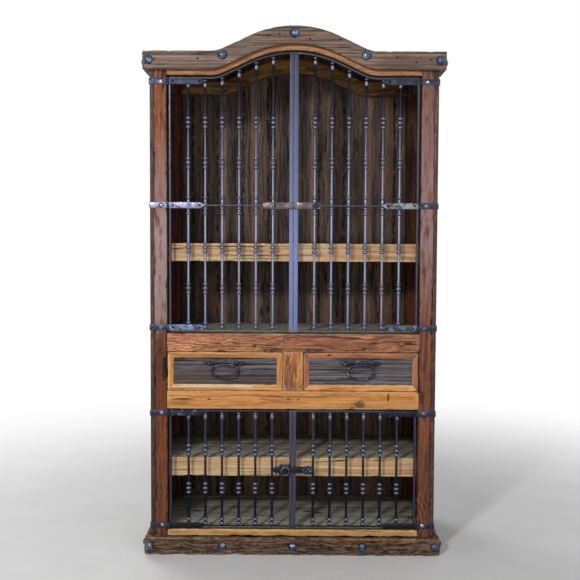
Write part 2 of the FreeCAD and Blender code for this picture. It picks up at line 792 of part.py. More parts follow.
def pull(side):
    """A drawer pull: a pointed plate with two studs, and a bail that swings in them."""
    centre = mirrored(side, f"(divider_wide / 2 + {INNER}) / 2")
    up = f"({DRAWER_FLOOR} + pull_up_share * drawer_opening_tall)"
    wood = f"({FRONT} + moulding_thick)"
    face = f"({wood} - plate_thick)"
    axis = f"({FRONT} + moulding_thick - bail_axis_out)"
    ends = []
    for sign in (1, -1):
        flat = f"{centre} + {sign} * plate_flat / 2"
        ends.append([(flat, f"{up} - {sign} * plate_tall / 2"),
                     (f"{centre} + {sign} * plate_long / 2", up),
                     (flat, f"{up} + {sign} * plate_tall / 2")])
    plate = slab(side + "_plate_blank", ends[0] + ends[1], face, "plate_thick")
    studs = []
    pins = []
    holes = []
    for sign in (1, -1):
        name = f"{side}_{'far' if sign > 0 else 'near'}"
        spot = f"{centre} + {sign} * stud_out"
        studs.append(rod(name + "_stud", "stud_radius", "stud_long", (spot, face, up), FORWARD))
        hole = (f"{spot} - 2 * stud_radius", axis, up)
        holes.append(rod(name + "_hole", "bail_pin_radius + bail_pin_fit", "4 * stud_radius",
                         hole, SIDEWAYS))
        start = f"{centre} + {sign} * bail_half"
        if sign < 0:
            start += " - bail_pin_long"
        pins.append(rod(name + "_pin", "bail_pin_radius", "bail_pin_long", (start, axis, up),
                        SIDEWAYS))
        pins.append(ball(name + "_ball", "bail_ball_radius",
                         (f"{centre} + {sign} * bail_half", axis, up)))
    part(cut(side + "_pull", fused(side + "_pull_whole", [plate] + studs), holes),
         side + "_pull_plate")
    part(fused(side + "_bail", [bail_loop(side, centre, axis, up)] + pins), side + "_pull_bail")


def bail_loop(side, centre, axis, up):
    """The hanging loop of a bail: a round bar bent through four corners."""
    body = doc.addObject("PartDesign::Body", side + "_loop")
    path = body.newObject("Sketcher::SketchObject", side + "_loop_path")
    path.AttachmentSupport = [(plane_of(body, "XZ_Plane"), "")]
    path.MapMode = "FlatFace"
    low_in = "(bail_half - bail_corner)"
    leg = "(bail_drop - bail_corner)"
    spots = [("-bail_half", "0"), ("-bail_half", f"-{leg}"), (f"-{low_in}", "-bail_drop"),
             (low_in, "-bail_drop"), ("bail_half", f"-{leg}"), ("bail_half", "0")]
    points = [FreeCAD.Vector(value(across), value(down), 0) for across, down in spots]
    for index in range(5):
        start, end = points[index], points[index + 1]
        if index in (1, 3):
            path.addGeometry(arc_between(start, end, value("bail_corner"), 1))
        else:
            path.addGeometry(Part.LineSegment(start, end))
        if index:
            path.addConstraint(Sketcher.Constraint("Coincident", index - 1, 2, index, 1))
        hold(path, "DistanceX", index, 1, spots[index][0])
        hold(path, "DistanceY", index, 1, spots[index][1])
    hold(path, "DistanceX", 4, 2, spots[5][0])
    hold(path, "DistanceY", 4, 2, spots[5][1])
    for index in (1, 3):
        bound_radius(path, index, "bail_corner")
    ring = body.newObject("Sketcher::SketchObject", side + "_loop_round")
    ring.AttachmentSupport = [(plane_of(body, "XY_Plane"), "")]
    ring.MapMode = "FlatFace"
    ring.addGeometry(Part.Circle(points[0], FreeCAD.Vector(0, 0, 1), value("bail_radius")))
    hold(ring, "DistanceX", 0, 3, spots[0][0])
    hold(ring, "DistanceY", 0, 3, spots[0][1])
    bound_radius(ring, 0, "bail_radius")
    doc.recompute([path, ring])
    pipe = body.newObject("PartDesign::AdditivePipe", side + "_loop_pipe")
    pipe.Profile = ring
    pipe.Spine = (path, [f"Edge{number}" for number in range(1, 6)])
    body.Tip = pipe
    return place(body, centre, axis, up)


def bead(middle, tall, radius):
    """A turned bead on a rod: where it is, how tall and how thick."""
    return middle, tall, radius


def collar(middle):
    """A collar of three beads about a height."""
    disc_up = "(bell_tall / 2 + neck_tall + disc_tall / 2)"
    return [bead(f"{middle} - {disc_up}", "disc_tall", "disc_radius"),
            bead(middle, "bell_tall", "bell_radius"),
            bead(f"{middle} + {disc_up}", "disc_tall", "disc_radius")]


def turning(body, name, low, high, beads):
    """Turn a rod with beads between two heights, about a body's own upright axis."""
    corners = [("0", low), ("rod_radius", low)]
    for middle, tall, radius in beads:
        sag = f"({radius} - rod_radius)"
        curve = f"(({tall}) ^ 2 / 4 + {sag} ^ 2) / (2 * {sag})"
        corners.append(("rod_radius", f"{middle} - {tall} / 2"))
        corners.append(("rod_radius", f"{middle} + {tall} / 2", curve, 1))
    corners += [("rod_radius", high), ("0", high)]
    sketch = outline(body, name + "_profile", "XZ_Plane", corners)
    turned = body.newObject("PartDesign::Revolution", name + "_turned")
    turned.Profile = sketch
    turned.ReferenceAxis = (sketch, ["V_Axis"])
    turned.Angle = 360
    turned.Refine = False
    return turned, sketch


def repeat(body, side, features):
    """Repeat turned rods across a door."""
    row_of_rods = body.newObject("PartDesign::LinearPattern", body.Name + "_row")
    row_of_rods.Originals = features
    axis = next(one for one in body.Origin.OriginFeatures if one.Role == "X_Axis")
    row_of_rods.Direction = (axis, [""])
    row_of_rods.Reversed = side == "left"
    row_of_rods.Occurrences = SIZES["rod_count"]
    row_of_rods.Refine = False
    bind(row_of_rods, Length=f"{ROD_PITCH} * (rod_count - 1)")
    body.Tip = row_of_rods
    return row_of_rods


def arch_up(across):
    """How far the arch line stands above its flats, at a distance from the centre."""
    spot = value(across)
    if spot < value(ROUND_IN):
        return f"(arch_rise - {CROWN_RADIUS} + sqrt({CROWN_RADIUS} ^ 2 - ({across}) ^ 2))"
    if spot < value(BEND_IN):
        return f"({ROUND_UP} - (({across}) - {ROUND_IN}) * arch_slope_share)"
    if spot < value("arch_half"):
        return f"(arch_bend_radius - sqrt(arch_bend_radius ^ 2 - (arch_half - ({across})) ^ 2))"
    return "0"


def upper_balusters(side):
    """The balusters of an upper door, in two runs, above and below the middle bar."""
    label = f"upper_{side}_door_balusters"
    body = doc.addObject("PartDesign::Body", label + "_rods")
    place(body, mirrored(side, "first_rod"), ROD_Y, "0")
    low = f"{UPPER_DOOR} + bar_wide"
    step = "(bell_tall / 2 + neck_tall + disc_tall / 2)"
    near_bar = "(end_neck + bell_tall / 2)"
    below = [bead(f"{low} + end_neck + ball_tall / 2", "ball_tall", "bell_radius"),
             bead(f"{low} + end_neck + ball_tall + neck_tall + disc_tall / 2", "disc_tall",
                  "disc_radius")]
    below += collar(f"{UPPER_DOOR} + first_collar_share * {HALF_RUN}")
    below += collar(f"{UPPER_DOOR} + second_collar_share * {HALF_RUN}")
    below += [bead(f"{MID_BAR} - {near_bar} - {step}", "ball_tall", "ball_radius"),
              bead(f"{MID_BAR} - end_neck / 2 - disc_tall / 2", "disc_tall", "disc_radius")]
    above = [bead(f"{MID_BAR_TOP} + {near_bar}", "bell_tall", "bell_radius"),
             bead(f"{MID_BAR_TOP} + {near_bar} + {step}", "disc_tall", "disc_radius")]
    above += collar(f"{MID_LINE} + third_collar_share * {HALF_RUN}")
    above += collar(f"{MID_LINE} + fourth_collar_share * {HALF_RUN}")
    joint = f"({MID_LINE} + rod_joint_share * {HALF_RUN})"
    runs = [turning(body, label + "_low", low, MID_BAR, below)[0],
            turning(body, label + "_high", MID_BAR_TOP, joint, above)[0]]
    repeat(body, side, runs)
    for index in range(SIZES["rod_count"]):
        across = f"(first_rod + {ROD_PITCH} * {index})"
        under = f"({UPPER_DOOR_TOP} - bar_wide + {arch_up(across)})"
        head = [bead(f"{under} - cap_tall - end_neck - knob_tall / 2", "knob_tall", "knob_radius"),
                bead(f"{under} - end_neck / 2 - cap_tall / 2", "cap_tall", "cap_radius")]
        top, sketch = turning(body, f"{label}_top_{index}", joint, f"{under} + rod_bite", head)
        sketch.setExpression(".AttachmentOffset.Base.x",
                             bound(mirrored(side, f"{ROD_PITCH} * {index}")))
        body.Tip = top
    return label, body


def lower_balusters(side):
    """The balusters of a lower door."""
    label = f"lower_{side}_door_balusters"
    body = doc.addObject("PartDesign::Body", label + "_rods")
    place(body, mirrored(side, "first_rod"), ROD_Y, "0")
    low = f"{LOWER_DOOR} + bar_wide"
    high = f"{LOWER_DOOR_TOP} - bar_wide"
    beads = [bead(f"{low} + end_neck + ball_tall / 2", "ball_tall", "bell_radius"),
             bead(f"{low} + end_neck + ball_tall + neck_tall + disc_tall / 2", "disc_tall",
                  "disc_radius")]
    run = f"({LOWER_DOOR_TOP} - {LOWER_DOOR})"
    beads += collar(f"{LOWER_DOOR} + lower_first_collar_share * {run}")
    beads += collar(f"{LOWER_DOOR} + lower_second_collar_share * {run}")
    beads += [bead(f"{high} - cap_tall - end_neck - knob_tall / 2", "knob_tall", "knob_radius"),
              bead(f"{high} - end_neck / 2 - cap_tall / 2", "cap_tall", "cap_radius")]
    repeat(body, side, [turning(body, label + "_run", low, high, beads)[0]])
    part(body, label)


def upper_door(side):
    """An upper door: its frame with the arched top bar, balusters and straps."""
    name = f"upper_{side}_door"
    meet = f"({MEET} + upper_meeting_wide)"
    depths = (FRONT, f"{FRONT} + bar_deep")
    peak = f"{UPPER_DOOR_TOP} + {arch_up(meet)} - meeting_top_gap"
    top_edge = arch_corners(UPPER_DOOR_TOP, STILE_OUT, meet)
    low_edge = walked_back(arch_corners(f"{UPPER_DOOR_TOP} - bar_wide", STILE_OUT, meet))
    corners = top_edge + low_edge
    if side == "left":
        corners = turned_about(corners)
    arch_bar = slab(name + "_arch_bar", corners, FRONT, "bar_deep")
    rods, body = upper_balusters(side)
    part(cut(rods, body, [arch_bar]), rods)
    frame = [arch_bar,
             board(name + "_hinge_bar", span(side, STILE_IN, STILE_OUT), depths,
                   (UPPER_DOOR, f"{UPPER_DOOR_TOP} - bar_wide")),
             board(name + "_meeting_bar", span(side, MEET, meet), depths, (UPPER_DOOR, peak)),
             board(name + "_bottom_bar", span(side, meet, STILE_IN), depths,
                   (UPPER_DOOR, f"{UPPER_DOOR} + bar_wide")),
             board(name + "_middle_bar", span(side, meet, STILE_IN), depths,
                   (MID_BAR, MID_BAR_TOP))]
    part(group(name + "_frame", frame), name + "_frame")
    door_straps(name, side, upper_strap_heights())


def lower_door(side):
    """A lower door: its frame, balusters and straps."""
    name = f"lower_{side}_door"
    meet = f"({MEET} + lower_meeting_wide)"
    depths = (FRONT, f"{FRONT} + bar_deep")
    heights = (LOWER_DOOR, LOWER_DOOR_TOP)
    frame = [board(name + "_hinge_bar", span(side, STILE_IN, STILE_OUT), depths, heights),
             board(name + "_meeting_bar", span(side, MEET, meet), depths, heights),
             board(name + "_bottom_bar", span(side, meet, STILE_IN), depths,
                   (LOWER_DOOR, f"{LOWER_DOOR} + bar_wide")),
             board(name + "_top_bar", span(side, meet, STILE_IN), depths,
                   (f"{LOWER_DOOR_TOP} - bar_wide", LOWER_DOOR_TOP))]
    part(group(name + "_frame", frame), name + "_frame")
    lower_balusters(side)
    door_straps(name, side, lower_strap_heights())


def upper_strap_heights():
    """The heights of the three hinges of an upper door."""
    return [f"({UPPER_DOOR} + upper_strap_inset)", MID_LINE,
            f"({UPPER_DOOR_TOP} - upper_strap_inset)"]


def lower_strap_heights():
    """The heights of the two hinges of a lower door."""
    return [f"({LOWER_DOOR} + lower_strap_inset)", f"({LOWER_DOOR_TOP} - lower_strap_inset)"]


def knuckle(name, side, low, tall, radius="knuckle_radius"):
    """A round on the hinge axis, from a height up."""
    return rod(name, radius, tall, (mirrored(side, HINGE_OUT), HINGE_Y, low))


def door_straps(name, side, heights):
    """The pointed straps of a door, their moving knuckles and their nails."""
    pieces = []
    clear = f"({HINGE_OUT} - knuckle_radius - knuckle_gap)"
    tip = f"({STILE_OUT} - strap_reach)"
    for level, up in enumerate(heights):
        title = f"{name}_strap_{level}"
        upper_edge = [(tip, up), (f"{tip} + strap_point", f"{up} + strap_tall / 2"),
                      (clear, f"{up} + strap_tall / 2"), (clear, f"{up} + knuckle_tall / 2"),
                      (HINGE_OUT, f"{up} + knuckle_tall / 2")]
        lower_edge = [(HINGE_OUT, f"{up} - knuckle_tall / 2"), (clear, f"{up} - knuckle_tall / 2"),
                      (clear, f"{up} - strap_tall / 2"),
                      (f"{tip} + strap_point", f"{up} - strap_tall / 2")]
        corners = [(mirrored(side, across), height) for across, height in upper_edge + lower_edge]
        leaf = slab(title + "_leaf", corners, f"{FRONT} - strap_thick", "strap_thick")
        low = f"{up} - knuckle_tall / 2"
        barrel = knuckle(title + "_knuckle", side, low, "knuckle_tall")
        bore = knuckle(title + "_bore", side, f"{low} - knuckle_tall", "3 * knuckle_tall",
                       "pin_radius + running_fit")
        pieces.append(cut(title, fused(title + "_whole", [leaf, barrel]), [bore]))
        for index, across in enumerate((f"{STILE_OUT} - strap_nail_edge",
                                        f"{tip} + strap_point + strap_nail_radius")):
            spot = (mirrored(side, across), f"{FRONT} - strap_thick", up)
            pieces.append(dome(f"{title}_nail_{index}", "strap_nail_radius", "strap_nail_rise",
                               spot))
    part(group(name + "_straps", pieces), name + "_straps")


def post_strap(title, side, up):
    """The fixed half of a hinge: a strap over the post that wraps round its side."""
    clear = f"({HINGE_OUT} + knuckle_radius + knuckle_gap)"
    notch = "(knuckle_tall / 2 + knuckle_gap)"
    corners = [(OUTSIDE, f"{up} - strap_tall / 2"), (OUTSIDE, f"{up} + strap_tall / 2"),
               (HINGE_OUT, f"{up} + strap_tall / 2"), (HINGE_OUT, f"{up} + {notch}"),
               (clear, f"{up} + {notch}"), (clear, f"{up} - {notch}"),
               (HINGE_OUT, f"{up} - {notch}"), (HINGE_OUT, f"{up} - strap_tall / 2")]
    corners = [(mirrored(side, across), height) for across, height in corners]
    front = f"{FRONT} - strap_thick"
    pieces = [slab(title + "_leaf", corners, front, "strap_thick"),
              board(title + "_wrap", span(side, OUTSIDE, f"{OUTSIDE} + strap_thick"),
                    (front, f"{FRONT} + strap_wrap"),
                    (f"{up} - strap_tall / 2", f"{up} + strap_tall / 2")),
              knuckle(title + "_high", side, f"{up} + {notch}", "knuckle_tall"),
              knuckle(title + "_low", side, f"{up} - {notch} - knuckle_tall", "knuckle_tall")]
    bore = knuckle(title + "_bore", side, f"{up} - 2 * knuckle_tall", "4 * knuckle_tall",
                   "pin_radius + running_fit")
    return cut(title, fused(title + "_whole", pieces), [bore])


def hinge_pin(title, side, up):
    """A hinge pin, with a head that rests on the top knuckle."""
    half = "(1.5 * knuckle_tall + knuckle_gap)"
    shaft = knuckle(title + "_shaft", side, f"{up} - {half}", f"2 * {half}", "pin_radius")
    head = knuckle(title + "_head", side, f"{up} + {half}", "pin_head_tall", "pin_head_radius")
    return fused(title, [shaft, head])


def fixed_ironwork():
    """The post straps, the hinge pins and the nails through the post straps."""
    straps = []
    pins = []
    nails = []
    for side in SIDES:
        for level, up in enumerate(lower_strap_heights() + upper_strap_heights()):
            straps.append(post_strap(f"{side}_post_strap_{level}", side, up))
            pins.append(hinge_pin(f"{side}_pin_{level}", side, up))
            spot = (mirrored(side, f"{INNER} + post_nail_in"), f"{FRONT} - strap_thick", up)
            nails.append(dome(f"{side}_post_nail_{level}", "post_nail_radius",
                              "post_nail_rise", spot))
    part(group("post_straps", straps), "post_straps")
    part(group("hinge_pins", pins), "hinge_pins")
    part(group("strap_nails", nails), "strap_nails")


def staple(name, across, front, up, half):
    """A round staple standing forward from a plate, its two legs one above the other."""
    arch = doc.addObject("Part::Torus", name + "_arch")
    upright = FreeCAD.Rotation(FreeCAD.Vector(0, 1, 0), 90)
    facing_front = FreeCAD.Rotation(FreeCAD.Vector(1, 0, 0), 180)
    arch.Placement = FreeCAD.Placement(FreeCAD.Vector(), facing_front.multiply(upright))
    arch.Angle3 = 180
    bind(arch, Radius1=half, Radius2="staple_radius")
    place(arch, across, f"{front} - staple_leg", up)
    legs = []
    for index, sign in enumerate((1, -1)):
        legs.append(rod(f"{name}_leg_{index}", "staple_radius", "staple_leg",
                        (across, front, f"{up} + {sign} * {half}"), FORWARD))
    return [arch] + legs


def keeper(level, up, long, wings, eye):
    """The half of a latch on the left door: plates riveted round a socket, and a staple."""
    label = f"{level}_latch_keeper"
    front = f"({FRONT} - latch_thick)"
    inner, rear = cavity_depths()
    low, high = cavity_heights(up)
    bottom, top = f"{up} - latch_tall / 2", f"{up} + latch_tall / 2"
    socket_end = f"-({MEET} + socket_deep)"
    tip = [(f"-({long} - latch_tip)", top), (f"-{long}", up, "latch_tip_radius", 1),
           (f"-({long} - latch_tip)", bottom, "latch_tip_radius", 1)]
    whole = [(f"-{MEET}", bottom), (f"-{MEET}", top)] + tip
    beyond = [(socket_end, bottom), (socket_end, top)] + tip
    face = slab(label + "_face", whole, front, "latch_wall")
    if wings:
        face = fused(label + "_winged_face", [face] + wings)
    solids = [face, slab(label + "_back", whole, rear, f"{FRONT} - ({rear})"),
              slab(label + "_core", beyond, inner, f"({rear}) - ({inner})"),
              board(label + "_sill", (socket_end, f"-{MEET}"), (inner, rear), (bottom, low)),
              board(label + "_lintel", (socket_end, f"-{MEET}"), (inner, rear), (high, top)),
              fused(label + "_eye", eye)]
    part(group(label, solids), label)


def cavity_depths():
    """The depth of the hollow that a bolt slides in."""
    low = f"{FRONT} - latch_thick + latch_wall"
    return low, f"{low} + bolt_thick + 2 * bolt_fit"


def cavity_heights(up):
    """The height of the hollow that a bolt slides in."""
    half = "(bolt_tall / 2 + bolt_fit)"
    return f"{up} - {half}", f"{up} + {half}"


def case_and_bolt(level, up, long, knob, radius, travel):
    """The half of a latch on the right door: a case, and the bolt that slides in it."""
    label = f"{level}_latch_case"
    front = f"{FRONT} - latch_thick"
    whole = board(label + "_bar", (MEET, long), (front, FRONT),
                  (f"{up} - latch_tall / 2", f"{up} + latch_tall / 2"))
    hollow = board(label + "_hollow", (MEET, f"{long} - case_end"), cavity_depths(),
                   cavity_heights(up))
    reach = "(knob_stem_radius + slot_fit)"
    slot = board(label + "_slot", (f"{knob} - {travel} - {reach}", f"{knob} + {reach}"),
                 (front, f"{front} + latch_wall"), (f"{up} - {reach}", f"{up} + {reach}"))
    part(cut(label, whole, [hollow, slot]), label)
    bolt = f"{level}_latch_bolt"
    face = f"({FRONT} - latch_thick + latch_wall + bolt_fit)"
    seat = f"({front} - rosette_gap)"
    bar = board(bolt + "_bar", (f"{MEET} + bolt_nose_gap", f"{long} - case_end - bolt_fit"),
                (face, f"{face} + bolt_thick"),
                (f"{up} - bolt_tall / 2", f"{up} + bolt_tall / 2"))
    turned = [rod(bolt + "_stem", "knob_stem_radius", f"{face} - {seat}", (knob, face, up),
                  FORWARD),
              rod(bolt + "_rosette", radius, "rosette_thick", (knob, seat, up), FORWARD),
              dome(bolt + "_boss", f"{radius} * rosette_dome_share", "rosette_dome_rise",
                   (knob, f"{seat} - rosette_thick", up))]
    part(group(bolt, [bar, fused(bolt + "_knob", turned)]), bolt)


def peg():
    """The locking peg: a tapered pin with a ball head, slanting down through its staple."""
    label = "upper_latch_peg"
    slant = "atan(peg_drop_share)"
    spot = ("-peg_staple_out", f"{FRONT} - latch_thick - staple_leg", MID_LINE)
    body = doc.addObject("PartDesign::Body", label)
    tip_up = "(peg_head_back + peg_long)"
    corners = [("0", tip_up), ("0", "-peg_head_radius"),
               ("peg_radius", "sqrt(peg_head_radius ^ 2 - peg_radius ^ 2)", "peg_head_radius", 1),
               ("peg_tip_radius", tip_up)]
    turned = body.newObject("PartDesign::Revolution", label + "_turned")
    turned.Profile = outline(body, label + "_profile", "XZ_Plane", corners)
    turned.ReferenceAxis = (turned.Profile[0], ["V_Axis"])
    turned.Angle = 360
    body.Tip = turned
    body.Placement = FreeCAD.Placement(FreeCAD.Vector(), SIDEWAYS)
    body.setExpression("Placement.Rotation.Angle", bound(f"90 deg + {slant}"))
    place(body, f"{spot[0]} - peg_head_back * cos({slant})", spot[1],
          f"{spot[2]} + peg_head_back * sin({slant})")
    part(body, label)


def ring_pull():
    """The ring that hangs in the staple of the lower latch."""
    ring = doc.addObject("Part::Torus", "lower_latch_loop")
    ring.Placement = FreeCAD.Placement(FreeCAD.Vector(), FORWARD)
    bind(ring, Radius1="ring_radius", Radius2="ring_thick_radius")
    place(ring, "-ring_staple_out", f"{FRONT} - latch_thick - staple_leg",
          f"{LOWER_LATCH} + ring_staple_up - ring_radius")
    part(ring, "lower_latch_ring")


def latches():
    """Both latches: keepers on the left doors, cases and bolts on the right ones."""
    front = f"{FRONT} - latch_thick"
    peg_eye = staple("peg_staple", "-peg_staple_out", front, MID_LINE, "peg_staple_half")
    keeper("upper", MID_LINE, "upper_keeper_long", [], peg_eye)
    plate_near = f"({MEET} + lower_plate_in)"
    plate = board("lower_keeper_plate", (f"-({plate_near} + lower_plate_wide)", f"-{plate_near}"),
                  (front, f"{front} + latch_wall"),
                  (f"{LOWER_LATCH} - lower_plate_tall / 2", f"{LOWER_LATCH} + lower_plate_tall / 2"))
    ring_up = f"{LOWER_LATCH} + ring_staple_up"
    ring_eye = staple("ring_staple", "-ring_staple_out", front, ring_up, "ring_staple_half")
    keeper("lower", LOWER_LATCH, "lower_keeper_long", [plate], ring_eye)
    case_and_bolt("upper", MID_LINE, "upper_case_long", "upper_knob_out",
                  "upper_rosette_radius", "upper_bolt_travel")
    case_and_bolt("lower", LOWER_LATCH, "lower_case_long", "lower_knob_out",
                  "lower_rosette_radius", "lower_bolt_travel")
    peg()
    ring_pull()


def check_and_write():
    """Stop if anything failed, then write each sub-part to its own file."""
    doc.recompute()
    for thing in doc.Objects:
        if "Invalid" in thing.State or "Error" in thing.State:
            raise RuntimeError(f"{thing.Name} failed: {thing.State}")
    for thing in parts:
        shape = thing.Shape
        if shape.isNull() or not shape.isValid() or not shape.Solids:
            raise RuntimeError(f"{thing.Label} has no sound shape")
    os.makedirs("parts", exist_ok=True)
    for thing in parts:
        thing.Shape.exportStep(f"parts/{thing.Label}.step")
        print(thing.Label, len(thing.Shape.Solids), "solids", round(thing.Shape.Volume), "mm3")
    print(len(parts), "sub-parts written")


posts()
front_frame()
inner_rails()
outer_boards()
roof()
floors()
shelves()
drawer_runners()
nailed_boards()
for hand in SIDES:
    drawer(hand)
    pull(hand)
    upper_door(hand)
    lower_door(hand)
fixed_ironwork()
latches()
check_and_write()
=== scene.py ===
import json
import logging
import math
import random
from contextlib import contextmanager
from dataclasses import dataclass, replace
from enum import Enum
from typing import Callable, Iterator, Sequence

import bmesh
import bpy
from mathutils import Matrix, Vector


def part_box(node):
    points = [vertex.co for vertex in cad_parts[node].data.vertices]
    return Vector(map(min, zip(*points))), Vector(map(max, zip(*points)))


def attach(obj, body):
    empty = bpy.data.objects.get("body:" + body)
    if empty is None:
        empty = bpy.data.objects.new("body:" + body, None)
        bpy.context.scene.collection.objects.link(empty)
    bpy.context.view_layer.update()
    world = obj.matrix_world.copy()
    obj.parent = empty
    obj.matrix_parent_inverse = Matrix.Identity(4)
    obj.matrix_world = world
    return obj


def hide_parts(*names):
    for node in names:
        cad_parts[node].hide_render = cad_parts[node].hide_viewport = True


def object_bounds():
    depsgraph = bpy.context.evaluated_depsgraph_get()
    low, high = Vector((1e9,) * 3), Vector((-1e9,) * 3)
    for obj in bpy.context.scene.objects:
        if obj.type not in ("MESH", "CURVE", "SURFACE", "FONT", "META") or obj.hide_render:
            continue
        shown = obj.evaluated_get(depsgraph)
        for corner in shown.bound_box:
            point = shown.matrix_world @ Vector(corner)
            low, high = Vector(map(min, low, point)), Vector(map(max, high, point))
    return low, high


# The looks of a trastero cabinet: reclaimed wood with worn edges, forged grille doors,
# domed nails, pulls and latches. Lengths are in metres, +Z is up and the front faces -Y.

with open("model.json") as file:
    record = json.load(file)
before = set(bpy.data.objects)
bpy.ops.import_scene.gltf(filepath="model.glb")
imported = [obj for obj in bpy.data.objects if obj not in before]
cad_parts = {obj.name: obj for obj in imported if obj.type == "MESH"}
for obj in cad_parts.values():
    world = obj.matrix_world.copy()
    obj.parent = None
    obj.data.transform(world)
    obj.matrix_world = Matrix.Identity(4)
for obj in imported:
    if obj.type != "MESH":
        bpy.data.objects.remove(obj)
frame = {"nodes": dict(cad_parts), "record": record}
CAD_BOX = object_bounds()
LOG = logging.getLogger("trastero")

Box = tuple[Vector, Vector]
Rgb = tuple[int, int, int]
Ring = tuple[float, float]
Place = Sequence[float]
Piece = bpy.types.Object
Socket = bpy.types.NodeSocket
Share = Callable[[Vector], float]
Reshape = Callable[[Piece], None] | None

WELD = 0.00002
SMOOTH_ANGLE = math.radians(38)
ROUND_ANGLE = math.radians(50)
QUARTER = math.radians(90)
SCAR_DEPTH = 0.1
SOOT = (22, 15, 13)
WHITE = (255, 255, 255)
BODY_OF = {node: body for body, nodes in frame["record"]["behaviour"]["bodies"].items()
           for node in nodes}
SLOT_OF = {part["node"]: part["material_slot"] for part in frame["record"]["subparts"]}


class Axis(Enum):
    """A direction of the cabinet: across, deep or up."""

    X = 0
    Y = 1
    Z = 2


class Side(Enum):
    """A hand of the cabinet, seen from the front."""

    LEFT = -1
    RIGHT = 1

    @property
    def word(self) -> str:
        """The name of the side, as the nodes have it."""
        return self.name.lower()

    def ends(self, near: float, far: float) -> tuple[float, float]:
        """The lower and upper X of a stretch between two distances from the centre."""
        return (near, far) if self is Side.RIGHT else (-far, -near)

    def span(self, near: float, far: float, depths: Ring, heights: Ring) -> Box:
        """The corners of a stretch between two distances from the centre."""
        return tuple(Vector(spot) for spot in zip(self.ends(near, far), depths, heights))


class Level(Enum):
    """Which pair of doors."""

    UPPER = "upper"
    LOWER = "lower"


def shade(*steps: int) -> tuple[float, ...]:
    """Turn a colour as seen, in steps of 255, into the linear one that a shader wants."""
    shares = [step / 255 for step in steps]
    return (*[share / 12.92 if share <= 0.04045 else ((share + 0.055) / 1.055) ** 2.4
              for share in shares], 1.0)


# Modelling by hand

def clear_selection() -> None:
    """Leave nothing selected, in object mode."""
    if bpy.context.mode != "OBJECT":
        bpy.ops.object.mode_set(mode="OBJECT")
    bpy.ops.object.select_all(action="DESELECT")


def make_active(piece: Piece) -> None:
    """Select one piece alone and make it the active one."""
    clear_selection()
    piece.select_set(True)
    bpy.context.view_layer.objects.active = piece


@contextmanager
def editing(piece: Piece, mode: str = "VERT") -> Iterator[None]:
    """Open a piece in edit mode with nothing selected, and close it again.

    Args:
        piece: The mesh object to edit.
        mode: What is selected: VERT, EDGE or FACE.
    """
    make_active(piece)
    bpy.ops.object.mode_set(mode="EDIT")
    bpy.ops.mesh.select_mode(type=mode)
    bpy.ops.mesh.select_all(action="DESELECT")
    yield
    bpy.ops.object.mode_set(mode="OBJECT")


def pick(piece: Piece, kind: str, test: Callable) -> None:
    """Select the vertices, edges or faces that pass a test, in edit mode.

    Args:
        piece: The mesh object in edit mode.
        kind: verts, edges or faces.
        test: Says whether one of them is to be selected.
    """
    mesh = bmesh.from_edit_mesh(piece.data)
    for one in getattr(mesh, kind):
        if test(one):
            one.select_set(True)
    mesh.select_flush_mode()
    bmesh.update_edit_mesh(piece.data)


def modify(piece: Piece, kind: str, **settings: object) -> None:
    """Add a modifier to a piece and apply it.

    Args:
        piece: The mesh object.
        kind: The modifier's type.
        **settings: The modifier's settings by name.
    """
    make_active(piece)
    modifier = piece.modifiers.new(kind.lower(), kind)
    for key, setting in settings.items():
        setattr(modifier, key, setting)
    bpy.ops.object.modifier_apply(modifier=modifier.name)


def settle(name: str) -> Piece:
    """Name the piece just added, and put its place into its mesh."""
    piece = bpy.context.object
    piece.name = name
    bpy.ops.object.transform_apply(location=True, rotation=True, scale=True)
    return piece


def block(name: str, low: Place, high: Place) -> Piece:
    """A squared block between two corners.

    Args:
        name: The piece's name.
        low: The lowest corner.
        high: The highest corner.

    Returns:
        The block, at the origin with its place in its mesh.
    """
    clear_selection()
    middle = (Vector(low) + Vector(high)) / 2
    bpy.ops.mesh.primitive_cube_add(size=1, location=middle)
    bpy.context.object.scale = Vector(high) - Vector(low)
    return settle(name)


def joined(pieces: Sequence[Piece], name: str) -> Piece:
    """Join several pieces into one object.

    Args:
        pieces: The pieces, of which the first takes up the others.
        name: The name of what they make.

    Returns:
        The joined piece.
    """
    clear_selection()
    for piece in pieces:
        piece.select_set(True)
    bpy.context.view_layer.objects.active = pieces[0]
    if len(pieces) > 1:
        bpy.ops.object.join()
    pieces[0].name = name
    return pieces[0]


def copied(piece: Piece, name: str, move: Matrix) -> Piece:
    """A copy of a piece with a mesh of its own, moved or turned.

    Args:
        piece: The piece.
        name: The copy's name.
        move: How its mesh is moved or turned.

    Returns:
        The copy.
    """
    twin = piece.copy()
    twin.data = piece.data.copy()
    twin.name = name
    bpy.context.scene.collection.objects.link(twin)
    twin.data.transform(move)
    return twin


def removed(piece: Piece) -> None:
    """Throw away a piece that was only a pattern for copies."""
    bpy.data.objects.remove(piece, do_unlink=True)


def placed(piece: Piece, where: Place) -> Piece:
    """Move a piece from the origin to a place, in its mesh."""
    piece.data.transform(Matrix.Translation(where))
    return piece


def facing(piece: Piece, where: Place) -> Piece:
    """Turn a piece that rises along +Z to the front, and move it to a place."""
    piece.data.transform(Matrix.Rotation(QUARTER, 4, "X"))
    return placed(piece, where)


def along(where: float, stops: Sequence[tuple[float, float]]) -> float:
    """The level at a place, on straight lines between known stops."""
    for (near, start), (far, end) in zip(stops, stops[1:]):
        if where <= far:
            return start + (end - start) * max(where - near, 0) / (far - near)
    return stops[-1][1]


def corners(spots: Sequence[Vector]) -> Box:
    """The lowest and highest corner round some places."""
    return tuple(Vector([pick_end(spot[axis] for spot in spots) for axis in range(3)])
                 for pick_end in (min, max))


def extent(piece: Piece) -> Box:
    """The lowest and highest corner of a piece."""
    return corners([vertex.co for vertex in piece.data.vertices])


